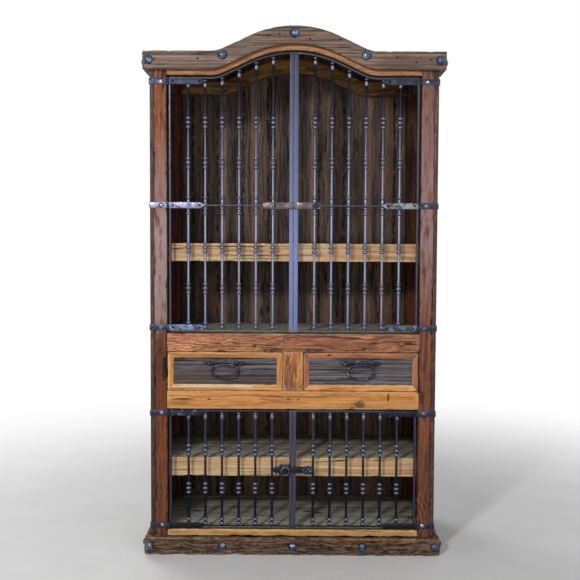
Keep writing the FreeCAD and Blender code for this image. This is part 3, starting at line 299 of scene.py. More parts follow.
def cut_cells(piece: Piece, axis: Axis, cell: float) -> None:
    """Cut a squared piece into cells along one axis.

    Args:
        piece: The piece, with all its edges along the axes.
        axis: The direction to cut along.
        cell: The longest that a cell may be.
    """
    def runs_along(edge: bmesh.types.BMEdge) -> bool:
        """Whether an edge is long and lies along the axis."""
        span = edge.verts[1].co - edge.verts[0].co
        return abs(span[axis.value]) > max(cell, 0.99 * span.length)

    low, high = extent(piece)
    cuts = min(math.ceil((high - low)[axis.value] / cell) - 1, 100)
    if cuts < 1:
        return
    with editing(piece, "EDGE"):
        pick(piece, "edges", runs_along)
        bpy.ops.mesh.subdivide(number_cuts=cuts, quadcorner="INNERVERT")


def smooth(piece: Piece, angle: float = SMOOTH_ANGLE) -> Piece:
    """Shade a piece smooth except at edges sharper than an angle."""
    make_active(piece)
    bpy.ops.object.shade_smooth_by_angle(angle=angle)
    return piece


def raise_by(piece: Piece, rise: float, share: Share) -> None:
    """Lift each vertex of a piece by its own share of a rise.

    Args:
        piece: The piece to lift.
        rise: The lift at a share of one.
        share: Gives the share for a vertex's place.
    """
    group = piece.vertex_groups.new(name="raise")
    for vertex in piece.data.vertices:
        group.add([vertex.index], share(vertex.co), "REPLACE")
    modify(piece, "DISPLACE", direction="Z", mid_level=0, strength=rise, vertex_group="raise")
    piece.vertex_groups.remove(piece.vertex_groups["raise"])


def clouds(name: str, size: float, depth: int = 2, floor: float = 0.0, top: float = 1.0,
           colour: bool = False) -> bpy.types.Texture:
    """A cloud pattern for a Displace modifier, made once.

    Args:
        name: The pattern's name.
        size: How large its blobs are.
        depth: How many finer layers it has.
        floor: The level below which it is zero.
        top: The level above which it is one.
        colour: Whether each axis has a pattern of its own.

    Returns:
        The texture.
    """
    found = bpy.data.textures.get(name)
    if found:
        return found
    texture = bpy.data.textures.new(name, "CLOUDS")
    texture.noise_scale = size
    texture.noise_depth = depth
    texture.cloud_type = "COLOR" if colour else "GRAYSCALE"
    if floor > 0 or top < 1:
        texture.use_color_ramp = True
        for element, place, level in zip(texture.color_ramp.elements, (floor, top), (0, 1)):
            element.position = place
            element.color = (level, level, level, 1)
    return texture


@dataclass(frozen=True)
class Wear:
    """How far a board has lost its sawn shape.

    Attributes:
        arris: The width of the worn edge.
        ripple: The height of the waves on its faces.
        warp: How far it strays from straight.
        chip: The depth of the chips along its edges.
        chip_floor: The level of the chips' pattern where they start: less gives more chips.
        cell: The length of the cells that it is cut into.
        across: Their width.
    """

    arris: float = 0.0016
    ripple: float = 0.0008
    warp: float = 0.0014
    chip: float = 0.0035
    chip_floor: float = 0.56
    cell: float = 0.028
    across: float = 0.016


INNER_WEAR = Wear(arris=0.0012, ripple=0.0004, warp=0.0006, chip=0.001, cell=0.06, across=0.04)


def on_edge(spot: Vector, low: Place, high: Place, width: float) -> bool:
    """Whether a place lies near two faces of a block at once."""
    near = 0
    for axis in range(3):
        near += min(spot[axis] - low[axis], high[axis] - spot[axis]) < width * 1.05
    return near >= 2


def mark_arris(piece: Piece, width: float) -> None:
    """Mark the vertices on a squared piece's edges, for the chips and for the finish.

    Args:
        piece: The piece, still squared.
        width: How near two faces a vertex on an edge is.
    """
    low, high = extent(piece)
    paint(piece, "edge", lambda spot: 1.0 if on_edge(spot, low, high, width) else 0.0)
    group = piece.vertex_groups.new(name="arris")
    for vertex, mark in zip(piece.data.vertices, piece.data.attributes["edge"].data):
        group.add([vertex.index], mark.value, "REPLACE")


def paint(piece: Piece, mark: str, share: Share) -> None:
    """Give each vertex of a piece its share of a mark that the finishes read.

    Args:
        piece: The piece.
        mark: The mark's name: edge, bare or tone.
        share: Gives the share for a vertex's place.
    """
    attribute = piece.data.attributes.get(mark)
    if attribute is None:
        attribute = piece.data.attributes.new(mark, "FLOAT", "POINT")
    attribute.data.foreach_set("value", [share(vertex.co) for vertex in piece.data.vertices])


def paint_grain(piece: Piece, grain: Axis, seed: str) -> None:
    """Give a board its own stretch of timber: where each vertex lies along and across it.

    Args:
        piece: The board.
        grain: The direction that its grain runs in.
        seed: Picks the stretch, so that no two boards match.
    """
    chance = random.Random(seed)
    shift = [chance.uniform(-6, 6) for _ in range(3)]
    others = [axis for axis in (Axis.Z, Axis.X, Axis.Y) if axis is not grain]
    order = [grain.value] + [axis.value for axis in others]
    spots = []
    for vertex in piece.data.vertices:
        spots += [vertex.co[axis] + off for axis, off in zip(order, shift)]
    attribute = piece.data.attributes.new("grain", "FLOAT_VECTOR", "POINT")
    attribute.data.foreach_set("vector", spots)
    tone = chance.random()
    paint(piece, "tone", lambda spot: tone)


def hammered(piece: Piece, pattern: bpy.types.Texture, strength: float,
             direction: str = "NORMAL", **settings: object) -> None:
    """Push a piece's surface in and out by a cloud pattern."""
    modify(piece, "DISPLACE", texture=pattern, texture_coords="LOCAL", strength=strength,
           direction=direction, **settings)


def weather(piece: Piece, wear: Wear) -> None:
    """Warp, ripple and chip a board.

    Args:
        piece: The board, cut into cells.
        wear: How worn it is.
    """
    if wear.warp:
        hammered(piece, clouds("warp", 0.45, 1, colour=True), wear.warp, "RGB_TO_XYZ")
    if wear.ripple:
        hammered(piece, clouds("ripple", 0.05, 3), wear.ripple)
    if wear.chip:
        pattern = clouds(f"chips_{wear.chip_floor}", 0.03, 3, wear.chip_floor,
                         min(wear.chip_floor + 0.12, 0.99))
        hammered(piece, pattern, -wear.chip, mid_level=0, vertex_group="arris")


def board(name: str, low: Place, high: Place, wear: Wear, grain: Axis | None = None,
          reshape: Reshape = None) -> Piece:
    """A worn board between two corners.

    Args:
        name: The board's name, which also picks its stretch of timber.
        low: The lowest corner.
        high: The highest corner.
        wear: How worn it is.
        grain: The direction of its grain, its longest one if none is given.
        reshape: Bends or tapers the cut board before it is weathered.

    Returns:
        The board.
    """
    sizes = [far - near for near, far in zip(low, high)]
    if grain is None:
        grain = Axis(sizes.index(max(sizes)))
    piece = block(name, low, high)
    modify(piece, "BEVEL", width=min(wear.arris, 0.3 * min(sizes)), segments=2,
           limit_method="NONE")
    for axis in Axis:
        cut_cells(piece, axis, wear.cell if axis is grain else wear.across)
    mark_arris(piece, wear.arris)
    if reshape:
        reshape(piece)
    paint_grain(piece, grain, name)
    weather(piece, wear)
    return smooth(piece)


def turn_outwards() -> None:
    """Turn all faces of the piece in edit mode outwards."""
    bpy.ops.mesh.select_all(action="SELECT")
    bpy.ops.mesh.normals_make_consistent(inside=False)


def turned(name: str, rings: Sequence[Ring], sides: int = 16) -> Piece:
    """A piece turned about the Z axis: a disc, extruded and scaled ring by ring.

    Args:
        name: The piece's name.
        rings: The height and radius of each ring, from the bottom up.
        sides: How many sides the rings have.

    Returns:
        The closed piece, standing on the Z axis.
    """
    clear_selection()
    bpy.ops.mesh.primitive_circle_add(vertices=sides, radius=rings[0][1], fill_type="NGON",
                                      location=(0, 0, rings[0][0]))
    piece = settle(name)
    with editing(piece, "FACE"):
        bpy.ops.mesh.select_all(action="SELECT")
        last_up, last_radius = rings[0]
        for up, radius in rings[1:]:
            bpy.ops.mesh.extrude_region_move(
                TRANSFORM_OT_translate={"value": (0, 0, up - last_up)})
            grow = radius / last_radius
            bpy.ops.transform.resize(value=(grow, grow, 1), center_override=(0, 0, up))
            last_up, last_radius = up, radius
        turn_outwards()
    return piece


def bead(middle: float, tall: float, radius: float, neck: float, steps: int = 6) -> list[Ring]:
    """The rings of a round bead on a rod.

    Args:
        middle: The height of its middle.
        tall: How tall it is.
        radius: Its radius at the middle.
        neck: The rod's radius at its ends.
        steps: How many rings it has less one.

    Returns:
        The rings from its lower end to its upper end.
    """
    rings = []
    for step in range(steps + 1):
        share = 2 * step / steps - 1
        swell = math.sqrt(max(1 - share ** 2, 0))
        rings.append((middle + share * tall / 2, neck + (radius - neck) * swell))
    return rings


def turns(count: int) -> list[float]:
    """The angles of even steps round a whole turn."""
    return [2 * math.pi * step / count for step in range(count)]


def swept(name: str, spots: Sequence[Place], radius: float, closed: bool = False) -> Piece:
    """A round bar that follows a line of places.

    Args:
        name: The piece's name.
        spots: The places.
        radius: The bar's radius.
        closed: Whether its end meets its start.

    Returns:
        The bar, as a mesh.
    """
    curve = bpy.data.curves.new(name, "CURVE")
    curve.dimensions = "3D"
    curve.bevel_depth = radius
    curve.bevel_resolution = 3
    curve.use_fill_caps = not closed
    line = curve.splines.new("POLY")
    line.points.add(len(spots) - 1)
    for point, spot in zip(line.points, spots):
        point.co = (*spot, 1)
    line.use_cyclic_u = closed
    wire = bpy.data.objects.new(name, curve)
    bpy.context.scene.collection.objects.link(wire)
    make_active(wire)
    bpy.ops.object.convert(target="MESH")
    smooth(bpy.context.object, ROUND_ANGLE)
    return bpy.context.object


def islands(node: str) -> list[Box]:
    """The boxes of the separate solids of a CAD node, in a fixed order.

    Args:
        node: A node whose solids don't touch each other.

    Returns:
        The lowest and highest corner of each.
    """
    mesh = bmesh.new()
    mesh.from_mesh(frame["nodes"][node].data)
    bmesh.ops.remove_doubles(mesh, verts=mesh.verts, dist=WELD)
    boxes = []
    for first in mesh.verts:
        if first.tag:
            continue
        first.tag = True
        waiting = [first]
        spots = []
        while waiting:
            vertex = waiting.pop()
            spots.append(vertex.co.copy())
            for edge in vertex.link_edges:
                other = edge.other_vert(vertex)
                if not other.tag:
                    other.tag = True
                    waiting.append(other)
        boxes.append(corners(spots))
    mesh.free()
    return sorted(boxes, key=lambda box: tuple(round(step, 5) for step in box[0]))


def present(pieces: Sequence[Piece], node: str, finish: "Finish | None" = None) -> None:
    """Join what stands for a CAD node, and let it ride with the node's body.

    Args:
        pieces: The finished mesh objects.
        node: The node that they stand for.
        finish: The finish of those that have none yet.
    """
    for one in pieces:
        if not one.data.materials:
            dressed(one, finish)
    ending = "wood" if SLOT_OF[node].endswith("wood") else "forged"
    piece = joined(pieces, f"{node}_{ending}")
    for vertex in piece.data.vertices:
        vertex.co = [min(max(spot, least), most)
                     for spot, least, most in zip(vertex.co, *CAD_BOX)]
    piece.data.name = piece.name
    piece.vertex_groups.clear()
    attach(piece, BODY_OF[node])
    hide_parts(node)
    LOG.info("%s: %d faces on %s", piece.name, len(piece.data.polygons), BODY_OF[node])


def dressed(piece: Piece, finish: "Finish") -> Piece:
    """Give a piece its finish."""
    piece.data.materials.clear()
    piece.data.materials.append(finish.material())
    return piece


# Finishes

class Signal:
    """What flows out of a node: a number, a place or a colour."""

    def __init__(self, tree: "Nodes", socket: Socket) -> None:
        """Take up an output of a tree."""
        self.tree = tree
        self.socket = socket

    def output(self, name: str) -> "Signal":
        """Another output of the same node."""
        return Signal(self.tree, self.socket.node.outputs[name])

    def math(self, operation: str, other: object = 0.0, clamp: bool = False) -> "Signal":
        """A sum of this number and another."""
        return self.tree.node("Math", {0: self, 1: other}, operation=operation,
                              use_clamp=clamp)

    def __add__(self, other: object) -> "Signal":
        """This number and another."""
        return self.math("ADD", other)

    def __sub__(self, other: object) -> "Signal":
        """This number less another."""
        return self.math("SUBTRACT", other)

    def __mul__(self, other: object) -> "Signal":
        """This number times another."""
        return self.math("MULTIPLY", other)

    def most(self, other: object, clamp: bool = False) -> "Signal":
        """The greater of this number and another."""
        return self.math("MAXIMUM", other, clamp)

    def step(self, low: float, high: float) -> "Signal":
        """Zero below a low level and one above a high one, or turned about if low is higher."""
        return self.tree.node("MapRange", {"Value": self, "From Min": low, "From Max": high},
                              interpolation_type="SMOOTHSTEP")

    def roughness(self, rough: Ring) -> "Signal":
        """A roughness between two, the less the higher this number is."""
        return self.tree.node("MapRange", {"Value": self, "From Min": 0.35, "From Max": 0.65,
                                           "To Min": rough[1], "To Max": rough[0]})

    def vector(self, operation: str, other: object) -> "Signal":
        """A sum of this place and another."""
        return self.tree.node("VectorMath", {0: self, 1: other}, operation=operation)

    def squeezed(self, share: float) -> "Signal":
        """This place with its first direction, the grain's, squeezed."""
        return self.vector("MULTIPLY", (share, 1, 1))

    def length(self) -> "Signal":
        """How far this place is from the origin."""
        return self.tree.node("VectorMath", {0: self}, "Value", operation="LENGTH")

    def ramp(self, stops: Sequence[tuple[float, Rgb]]) -> "Signal":
        """A colour for each level of this number.

        Args:
            stops: The levels, each with its colour.

        Returns:
            The colour.
        """
        colours = self.tree.node("ValToRGB", {0: self})
        elements = colours.socket.node.color_ramp.elements
        while len(elements) < len(stops):
            elements.new(0.5)
        for element, (place, colour) in zip(elements, stops):
            element.position = place
            element.color = shade(*colour)
        return colours


class Nodes:
    """A node tree, with short calls for what the finishes and the studio use."""

    def __init__(self, tree: bpy.types.NodeTree) -> None:
        """Take up a tree."""
        self.tree = tree

    def feed(self, socket: Socket, source: object) -> None:
        """Link a socket to a signal, or set it to a number, a place or a colour as seen."""
        if isinstance(source, Signal):
            self.tree.links.new(source.socket, socket)
        else:
            socket.default_value = shade(*source) if socket.type == "RGBA" else source

    def node(self, kind: str, feeds: dict, output: int | str = 0, **settings: object) -> Signal:
        """Add a node.

        Args:
            kind: The node's type, without its ShaderNode beginning.
            feeds: What feeds its inputs, by name or number.
            output: The output that is wanted, by name or number.
            **settings: The node's own settings.

        Returns:
            The output.
        """
        made = self.tree.nodes.new("ShaderNode" + kind)
        for key, setting in settings.items():
            setattr(made, key, setting)
        for key, source in feeds.items():
            self.feed(made.inputs[key], source)
        return Signal(self, made.outputs[output])

    def place(self) -> Signal:
        """The place on the piece."""
        return self.node("TexCoord", {}, "Object")

    def attribute(self, name: str, output: str = "Fac") -> Signal:
        """An attribute of the piece."""
        return self.node("Attribute", {}, output, attribute_name=name)

    def noise(self, where: Signal, scale: float, detail: float = 3.0,
              rough: float = 0.55) -> Signal:
        """A noise pattern, a number with a colour beside it."""
        return self.node("TexNoise", {"Vector": where, "Scale": scale, "Detail": detail,
                                      "Roughness": rough})

    def cells(self, where: Signal, scale: float) -> Signal:
        """A pattern of cells: the distance to each one's middle, with a colour beside it."""
        return self.node("TexVoronoi", {"Vector": where, "Scale": scale})

    def mix(self, share: object, first: object, second: object, blend: str = "MIX") -> Signal:
        """A mix of two colours."""
        return self.node("Mix", {0: share, 6: first, 7: second}, 2, data_type="RGBA",
                         blend_type=blend)

    def combined(self, *lengths: object) -> Signal:
        """A place from its lengths across, deep and up."""
        return self.node("CombineXYZ", dict(enumerate(lengths)))

    def seen(self, *rays: str) -> Signal:
        """One for what the camera sees, and for what is seen by way of other rays."""
        seen = light = self.node("LightPath", {}, "Is Camera Ray")
        for ray in rays:
            seen = seen.most(light.output(f"Is {ray} Ray"))
        return seen

    def show(self, output: str, share: Signal, first: Signal, second: Signal) -> None:
        """Show a mix of two surfaces."""
        mixed = self.node("MixShader", {0: share, 1: first, 2: second})
        self.feed(self.tree.nodes[f"{output} Output"].inputs["Surface"], mixed)


class Shader(Nodes):
    """The node tree of one material, with its principled surface."""

    def __init__(self, name: str) -> None:
        """Start a material of a name."""
        self.material = bpy.data.materials.new(name)
        self.material.use_nodes = True
        super().__init__(self.material.node_tree)
        self.surface = self.tree.nodes["Principled BSDF"]

    def bump(self, height: Signal, strength: float, depth: float) -> None:
        """Let a height pattern bend the surface's normal."""
        self.feed(self.surface.inputs["Normal"], self.node(
            "Bump", {"Height": height, "Strength": strength, "Distance": depth}))

    def finish(self, colour: Signal, rough: object, metal: float = 0.0,
               gloss: float = 0.5) -> bpy.types.Material:
        """Set the surface's colour, roughness, metal and gloss.

        Args:
            colour: The base colour.
            rough: The roughness.
            metal: How metallic it is.
            gloss: How strongly it mirrors, with 0.5 for a bare polished surface.

        Returns:
            The material.
        """
        for name, source in (("Base Color", colour), ("Roughness", rough),
                             ("Metallic", metal), ("Specular IOR Level", gloss)):
            self.feed(self.surface.inputs[name], source)
        return self.material


@dataclass(frozen=True)
class Finish:
    """A surface that is built once and then shared by all the pieces that have it."""

    name: str

    def material(self) -> bpy.types.Material:
        """The finish as a material, made once."""
        title = f"{self.name}_finish"
        found = bpy.data.materials.get(title)
        return found if found else self.made(Shader(title))

    def made(self, tree: Shader) -> bpy.types.Material:
        """Build the node tree of the finish."""
        raise NotImplementedError(self.name)


@dataclass(frozen=True)
class Scar:
    """A dark mark in the front of a board: a crack, a hole, a stain, or painted shade in a hollow.

    Attributes:
        across: Where its middle is, across.
        up: Where its middle is, up.
        wide: Half its width.
        tall: Half its height.
        strength: How dark it is.
    """

    across: float
    up: float
    wide: float
    tall: float
    strength: float = 1.0

    def drawn(self, ragged: Signal) -> Signal:
        """How dark the scar makes a place, with a ragged rim."""
        middle = (self.across, CAD_BOX[0][1], self.up)
        off = ragged.tree.place().vector("SUBTRACT", middle)
        away = off.vector("DIVIDE", (self.wide, SCAR_DEPTH, self.tall)).length()
        return (away + ragged).step(1.15, 0.75) * self.strength


def scars(*marks: tuple[float, ...]) -> tuple[Scar, ...]:
    """Scars from their places, sizes and strengths."""
    return tuple(Scar(*mark) for mark in marks)


@dataclass(frozen=True)
class WoodFinish(Finish):
    """A wood's colours and the marks in it.

    Attributes:
        deep: The colour of its dark grain.
        middle: Its usual colour.
        pale: The colour of its light grain.
        patch: The colour of its stained patches.
        worn: The colour of its edges: worn wood on most woods, painted shade on the posts.
        patch_share: How much the patches cover.
        stretch: How much longer than wide the grain's figure is.
        bands: How many bands of grain a metre holds.
        swirl: How much the grain wanders.
        knots: How many places for a knot a metre holds.
        knot_share: How many of those places have one.
        cracks: How strong the cracks are.
        streaks: How strong the dark streaks are.
        contrast: How far apart the grain's colours are.
        wear: How much the edge colour shows.
        rough: The roughness, at the least and at the most.
        relief: The depth of the grain.
        spread: How much one board differs from the next.
        gloss: How strongly it mirrors.
        rubbed: The colour of the marked places: rubbed wood, and on the front posts a painted
            sheen.
        scars: Its cracks, holes and stains at known places, and on the left post painted shade in
            its hollow.
    """

    deep: Rgb
    middle: Rgb
    pale: Rgb
    patch: Rgb
    worn: Rgb
    patch_share: float = 0.4
    stretch: float = 24.0
    bands: float = 85.0
    swirl: float = 0.012
    knots: float = 3.2
    knot_share: float = 0.4
    cracks: float = 1.0
    streaks: float = 0.6
    contrast: float = 1.0
    wear: float = 0.6
    rough: Ring = (0.45, 0.75)
    relief: float = 0.0016
    spread: float = 0.25
    gloss: float = 0.2
    rubbed: Rgb = (214, 188, 150)
    scars: tuple[Scar, ...] = ()

    def made(self, tree: Shader) -> bpy.types.Material:
        """Build the node tree: grain, patches, knots, cracks, holes, coloured edges and marked
        places.

        Args:
            tree: The tree to fill.

        Returns:
            The material.
        """
        timber = tree.attribute("grain", "Vector")
        knot, rings, core = self.knot_marks(timber)
        line = self.grain_line(timber, knot)
        bands = tree.noise(line, self.bands, 4.0, 0.6)
        fine = tree.noise(line, self.bands * 4.5, 3.0, 0.65)
        figure = bands * 0.62 + fine * 0.38 - rings * 0.12
        half = 0.13 / self.contrast
        colour = self.stained(timber, figure.ramp(
            [(0.5 - half, self.deep), (0.5, self.middle), (0.5 + half, self.pale)]))
        dark = self.dark_marks(timber, line, core)
        colour = tree.mix(dark, colour, tree.mix(0.7, self.deep, SOOT))
        # The edge colour: worn wood on most woods, painted shade on the posts.
        edge = tree.attribute("edge").step(0.35, 0.95)
        worn = tree.noise(timber, 34.0, 4.0, 0.7).step(0.38, 0.6) * edge * self.wear
        colour = tree.mix(worn, colour, self.worn)
        # The marked places take the rubbed colour: rubbed wood, and a painted sheen on the front
        # posts.
        flakes = tree.noise(timber.squeezed(0.25), 44.0).step(0.3, 0.52)
        colour = tree.mix(tree.attribute("bare") * flakes, colour, self.rubbed)
        tree.bump(figure - dark, 0.9, self.relief)
        return tree.finish(colour, figure.roughness(self.rough), gloss=self.gloss)

    def knot_marks(self, timber: Signal) -> tuple[Signal, Signal, Signal]:
        """The knots.

        Args:
            timber: The place in the board.

        Returns:
            How near a knot is, the rings round it and its dark core.
        """
        tree = timber.tree
        cells = tree.cells(timber.vector("MULTIPLY", (0.5, 1, 0.2)), self.knots)
        chosen = tree.node("SeparateXYZ", {0: cells.output("Color")})
        chosen = chosen.step(self.knot_share + 0.01, self.knot_share)
        away = cells + (tree.noise(timber, 60.0, 2.0) - 0.5) * 0.03
        near = away.step(0.26, 0.03) * chosen
        rings = (away * 200.0).math("SINE") * (near * near)
        return near, rings, away.step(0.048, 0.03) * chosen

    def grain_line(self, timber: Signal, knot: Signal) -> Signal:
        """The place in the grain: stretched along the board, wandering, and bent by knots.

        Args:
            timber: The place in the board.
            knot: How near a knot is.

        Returns:
            The place.
        """
        tree = timber.tree
        drift = tree.noise(timber.squeezed(0.3), 9.0).output("Color")
        drift = drift.vector("SUBTRACT", (0.5, 0.5, 0.5))
        drift = drift.vector("MULTIPLY", (self.swirl * 4,) * 3)
        line = timber.squeezed(1 / self.stretch).vector("ADD", drift)
        return line.vector("ADD", tree.combined(0.0, knot * 0.035))

    def stained(self, timber: Signal, colour: Signal) -> Signal:
        """The grain's colour with patches, and with the board's own tone.

        Args:
            timber: The place in the board.
            colour: The grain's colour.

        Returns:
            The stained colour.
        """
        tree = timber.tree
        level = 0.66 - 0.3 * self.patch_share
        share = tree.noise(timber.squeezed(0.22), 8.0, 5.0, 0.62).step(level, level + 0.12)
        stain = tree.mix(0.5, tree.mix(0.7, colour, self.patch, "OVERLAY"), self.patch)
        colour = tree.mix(share * 0.85, colour, stain)
        tone = tree.attribute("tone") * self.spread + (1 - self.spread / 2)
        return tree.mix(1.0, colour, tree.combined(tone, tone, tone), "MULTIPLY")

    def dark_marks(self, timber: Signal, line: Signal, core: Signal) -> Signal:
        """Streaks, cracks, holes and the knots' cores.

        Args:
            timber: The place in the board.
            line: The place in the grain.
            core: The knots' cores.

        Returns:
            How dark the marks are.
        """
        tree = timber.tree
        streak = tree.noise(line, self.bands * 0.55, 3.0, 0.7).step(0.58, 0.7) * self.streaks
        split = (tree.noise(line.squeezed(0.6), 30.0, 1.0, 0.4) - 0.5).math("ABSOLUTE")
        where = tree.noise(timber.squeezed(0.5), 5.0, 2.0).step(0.55, 0.6)
        split = (split.step(0.02, 0.008) * where).math("MULTIPLY", self.cracks, clamp=True)
        holes = tree.cells(timber, 11.0)
        rare = tree.node("SeparateXYZ", {0: holes.output("Color")}).step(0.72, 0.74)
        worst = split.most(holes.step(0.045, 0.028) * rare).most(core * 0.9)
        if self.scars:
            ragged = tree.noise(timber.squeezed(0.4), 90.0, 2.0) - 0.5
            for scar in self.scars:
                worst = worst.most(scar.drawn(ragged))
        return worst.most(streak, clamp=True)


@dataclass(frozen=True)
class IronFinish(Finish):
    """A forged iron's colours and hammer marks.

    Attributes:
        dark: The colour of its scale.
        bright: The colour where it is rubbed bare, and where a painted sheen or edge highlight is
            marked.
        bare: How much of it is rubbed bare.
        dimples: How many hammer marks a metre holds.
        dent: How deep they are.
        chisel: How deep its slanting chisel cuts are.
        rough: The roughness, at the least and at the most.
        metal: How metallic it is.
    """

    dark: Rgb
    bright: Rgb
    bare: float = 0.4
    dimples: float = 70.0
    dent: float = 0.0012
    chisel: float = 0.0
    rough: Ring = (0.34, 0.6)
    metal: float = 0.75

    def made(self, tree: Shader) -> bpy.types.Material:
        """Build the node tree: hammer marks, scale, bare places, painted sheen and highlights, and
        chisel cuts.

        Args:
            tree: The tree to fill.

        Returns:
            The material.
        """
        where = tree.place()
        push = tree.noise(where, 30.0, 2.0).output("Color")
        bent = where.vector("ADD", push.vector("MULTIPLY", (0.012, 0.012, 0.012)))
        speck = tree.noise(where, 210.0, 3.0, 0.7)
        cloud = tree.noise(where, 34.0, 4.0, 0.65)
        level = 0.66 - 0.36 * self.bare
        bare = (cloud * 0.65 + speck * 0.35).step(level, level + 0.12)
        # The mark on the piece carries painted sheen and edge highlights.
        colour = tree.mix(bare.most(tree.attribute("bare")), self.dark, self.bright)
        height = tree.cells(bent, self.dimples) * 0.8 + speck * 0.12
        if self.chisel:
            slant = tree.node("Mapping", {"Vector": where, "Rotation": (0, math.radians(35), 0)})
            cuts = tree.node("TexWave", {"Vector": slant, "Scale": 34.0, "Distortion": 1.6,
                                         "Detail Scale": 3.0}, "Fac", bands_direction="X")
            height = height + cuts * self.chisel
            colour = tree.mix(cuts.step(0.45, 0.1) * 0.75, colour, self.dark)
        if self.dent:
            tree.bump(height, 0.7, self.dent)
        return tree.finish(colour, cloud.roughness(self.rough), metal=self.metal)


# The dark edge colour (36, 24, 20) is painted shade along the posts' edges and in the left post's
# hollow; the first, large scar is painted shade in that hollow too.
# The mauve rubbed colour (158, 132, 132) is a painted sheen, laid on the front posts by height.
LEFT_POST_WOOD = WoodFinish(
    "left_post_wood", (44, 27, 20), (104, 61, 38), (146, 90, 58), (152, 86, 48), (36, 24, 20),
    stretch=34.0, wear=0.8, rough=(0.5, 0.7), gloss=0.15, contrast=0.9, streaks=0.45, knots=2.2,
    spread=0.9, rubbed=(158, 132, 132), scars=scars((-0.514, 0.768, 0.017, 0.055),
    (-0.517, 0.968, 0.006, 0.032), (-0.545, 1.245, 0.003, 0.004), (-0.538, 1.215, 0.003, 0.004)))
POST_WOOD = replace(
    LEFT_POST_WOOD, name="post_wood", scars=scars((0.528, 0.645, 0.009, 0.032, 0.7),
    (0.52, 0.935, 0.003, 0.003), (0.532, 0.775, 0.01, 0.03, 0.4)))
CROWN_WOOD = WoodFinish(
    "crown_wood", (56, 43, 40), (114, 95, 84), (146, 126, 110), (102, 80, 76), (72, 54, 44),
    stretch=75.0, bands=135.0, swirl=0.003, rough=(0.55, 0.8), relief=0.0018, contrast=1.2,
    streaks=0.5, knot_share=0.1,
    scars=scars(*((across, up, 0.0045, 0.004) for across, up in ((0.182, 2.077), (0.062, 2.081),
    (0.407, 2.01), (0.542, 2.002), (0.483, 1.99), (-0.384, 2.003), (-0.556, 2.0), (-0.105, 2.092),
    (-0.06, 2.099)))))
HEADER_WOOD = WoodFinish(
    "header_wood", (126, 86, 54), (176, 124, 80), (194, 148, 104), (162, 108, 70), (104, 68, 42),
    patch_share=0.25, contrast=0.7, cracks=0.2, wear=0.5, streaks=0.15, knot_share=0.1)
UPPER_RAIL_WOOD = WoodFinish(
    "upper_rail_wood", (70, 42, 34), (154, 98, 64), (200, 142, 96), (138, 84, 62), (182, 136, 98),
    patch_share=0.45, stretch=20.0, bands=150.0, swirl=0.018, knots=4.4, knot_share=0.6,
    contrast=1.2, relief=0.0024, rough=(0.4, 0.6), gloss=0.3, streaks=0.65, spread=0.7,
    scars=scars((-0.158, 0.853, 0.009, 0.006), (-0.312, 0.866, 0.028, 0.0025),
    (-0.25, 0.843, 0.024, 0.002), (0.33, 0.869, 0.026, 0.002), (-0.36, 0.858, 0.014, 0.003, 0.7)))
GOLDEN_WOOD = WoodFinish(
    "golden_wood", (122, 72, 32), (194, 130, 64), (218, 158, 92), (188, 118, 56), (206, 168, 118),
    patch_share=0.35, stretch=34.0, bands=90.0, swirl=0.008, contrast=0.9, rough=(0.36, 0.52),
    gloss=0.35, streaks=0.25, knot_share=0.2, cracks=0.5, spread=0.4,
    scars=scars((-0.452, 0.637, 0.055, 0.0035), (-0.342, 0.637, 0.01, 0.004),
    (-0.019, 0.637, 0.006, 0.004), (0.022, 0.637, 0.005, 0.004), (0.389, 0.648, 0.0045, 0.019),
    (0.243, 0.601, 0.012, 0.007), (0.272, 0.616, 0.024, 0.018, 0.75)))
RED_WOOD = WoodFinish(
    "red_wood", (92, 54, 34), (160, 100, 62), (190, 130, 90), (142, 98, 76), (150, 116, 92),
    stretch=30.0, bands=90.0, contrast=0.8, rough=(0.36, 0.52), gloss=0.35, streaks=0.3,
    knot_share=0.1, scars=scars((0.148, 0.819, 0.01, 0.0045)))
PALE_WOOD = WoodFinish(
    "pale_wood", (146, 94, 48), (206, 154, 94), (226, 182, 124), (192, 128, 72), (226, 200, 152),
    patch_share=0.3, stretch=34.0, bands=80.0, contrast=0.8, streaks=0.2, knot_share=0.2,
    scars=scars((-0.028, 0.103, 0.014, 0.004)))
DIVIDER_WOOD = WoodFinish(
    "divider_wood", (76, 40, 26), (166, 104, 54), (206, 148, 80), (124, 82, 64), (196, 158, 112),
    stretch=30.0, bands=110.0, contrast=1.2, rough=(0.4, 0.6), gloss=0.3, streaks=0.8,
    scars=scars((-0.02, 0.8, 0.002, 0.02), (0.025, 0.755, 0.003, 0.003),
    (-0.012, 0.76, 0.002, 0.03)))
PANEL_WOOD = WoodFinish(
    "panel_wood", (34, 32, 37), (86, 81, 85), (122, 115, 115), (98, 82, 76), (72, 62, 60),
    stretch=70.0, bands=190.0, swirl=0.003, contrast=1.6, relief=0.0022, rough=(0.5, 0.75),
    knot_share=0.05)
BASE_WOOD = WoodFinish(
    "base_wood", (28, 20, 17), (84, 62, 48), (132, 106, 84), (140, 86, 54), (164, 146, 124),
    patch_share=0.45, stretch=15.0, bands=150.0, swirl=0.02, knots=4.0, contrast=1.6, relief=0.005,
    cracks=1.3, rough=(0.55, 0.85), streaks=0.8)
INNER_WOOD = WoodFinish(
    "inner_wood", (52, 34, 22), (96, 66, 42), (136, 98, 66), (108, 70, 44), (70, 50, 34),
    spread=0.5)
DECK_WOOD = WoodFinish(
    "deck_wood", (104, 100, 90), (168, 163, 148), (204, 199, 182), (152, 136, 116), (104, 96, 84),
    spread=0.4, contrast=0.9, rough=(0.6, 0.9), streaks=0.4)
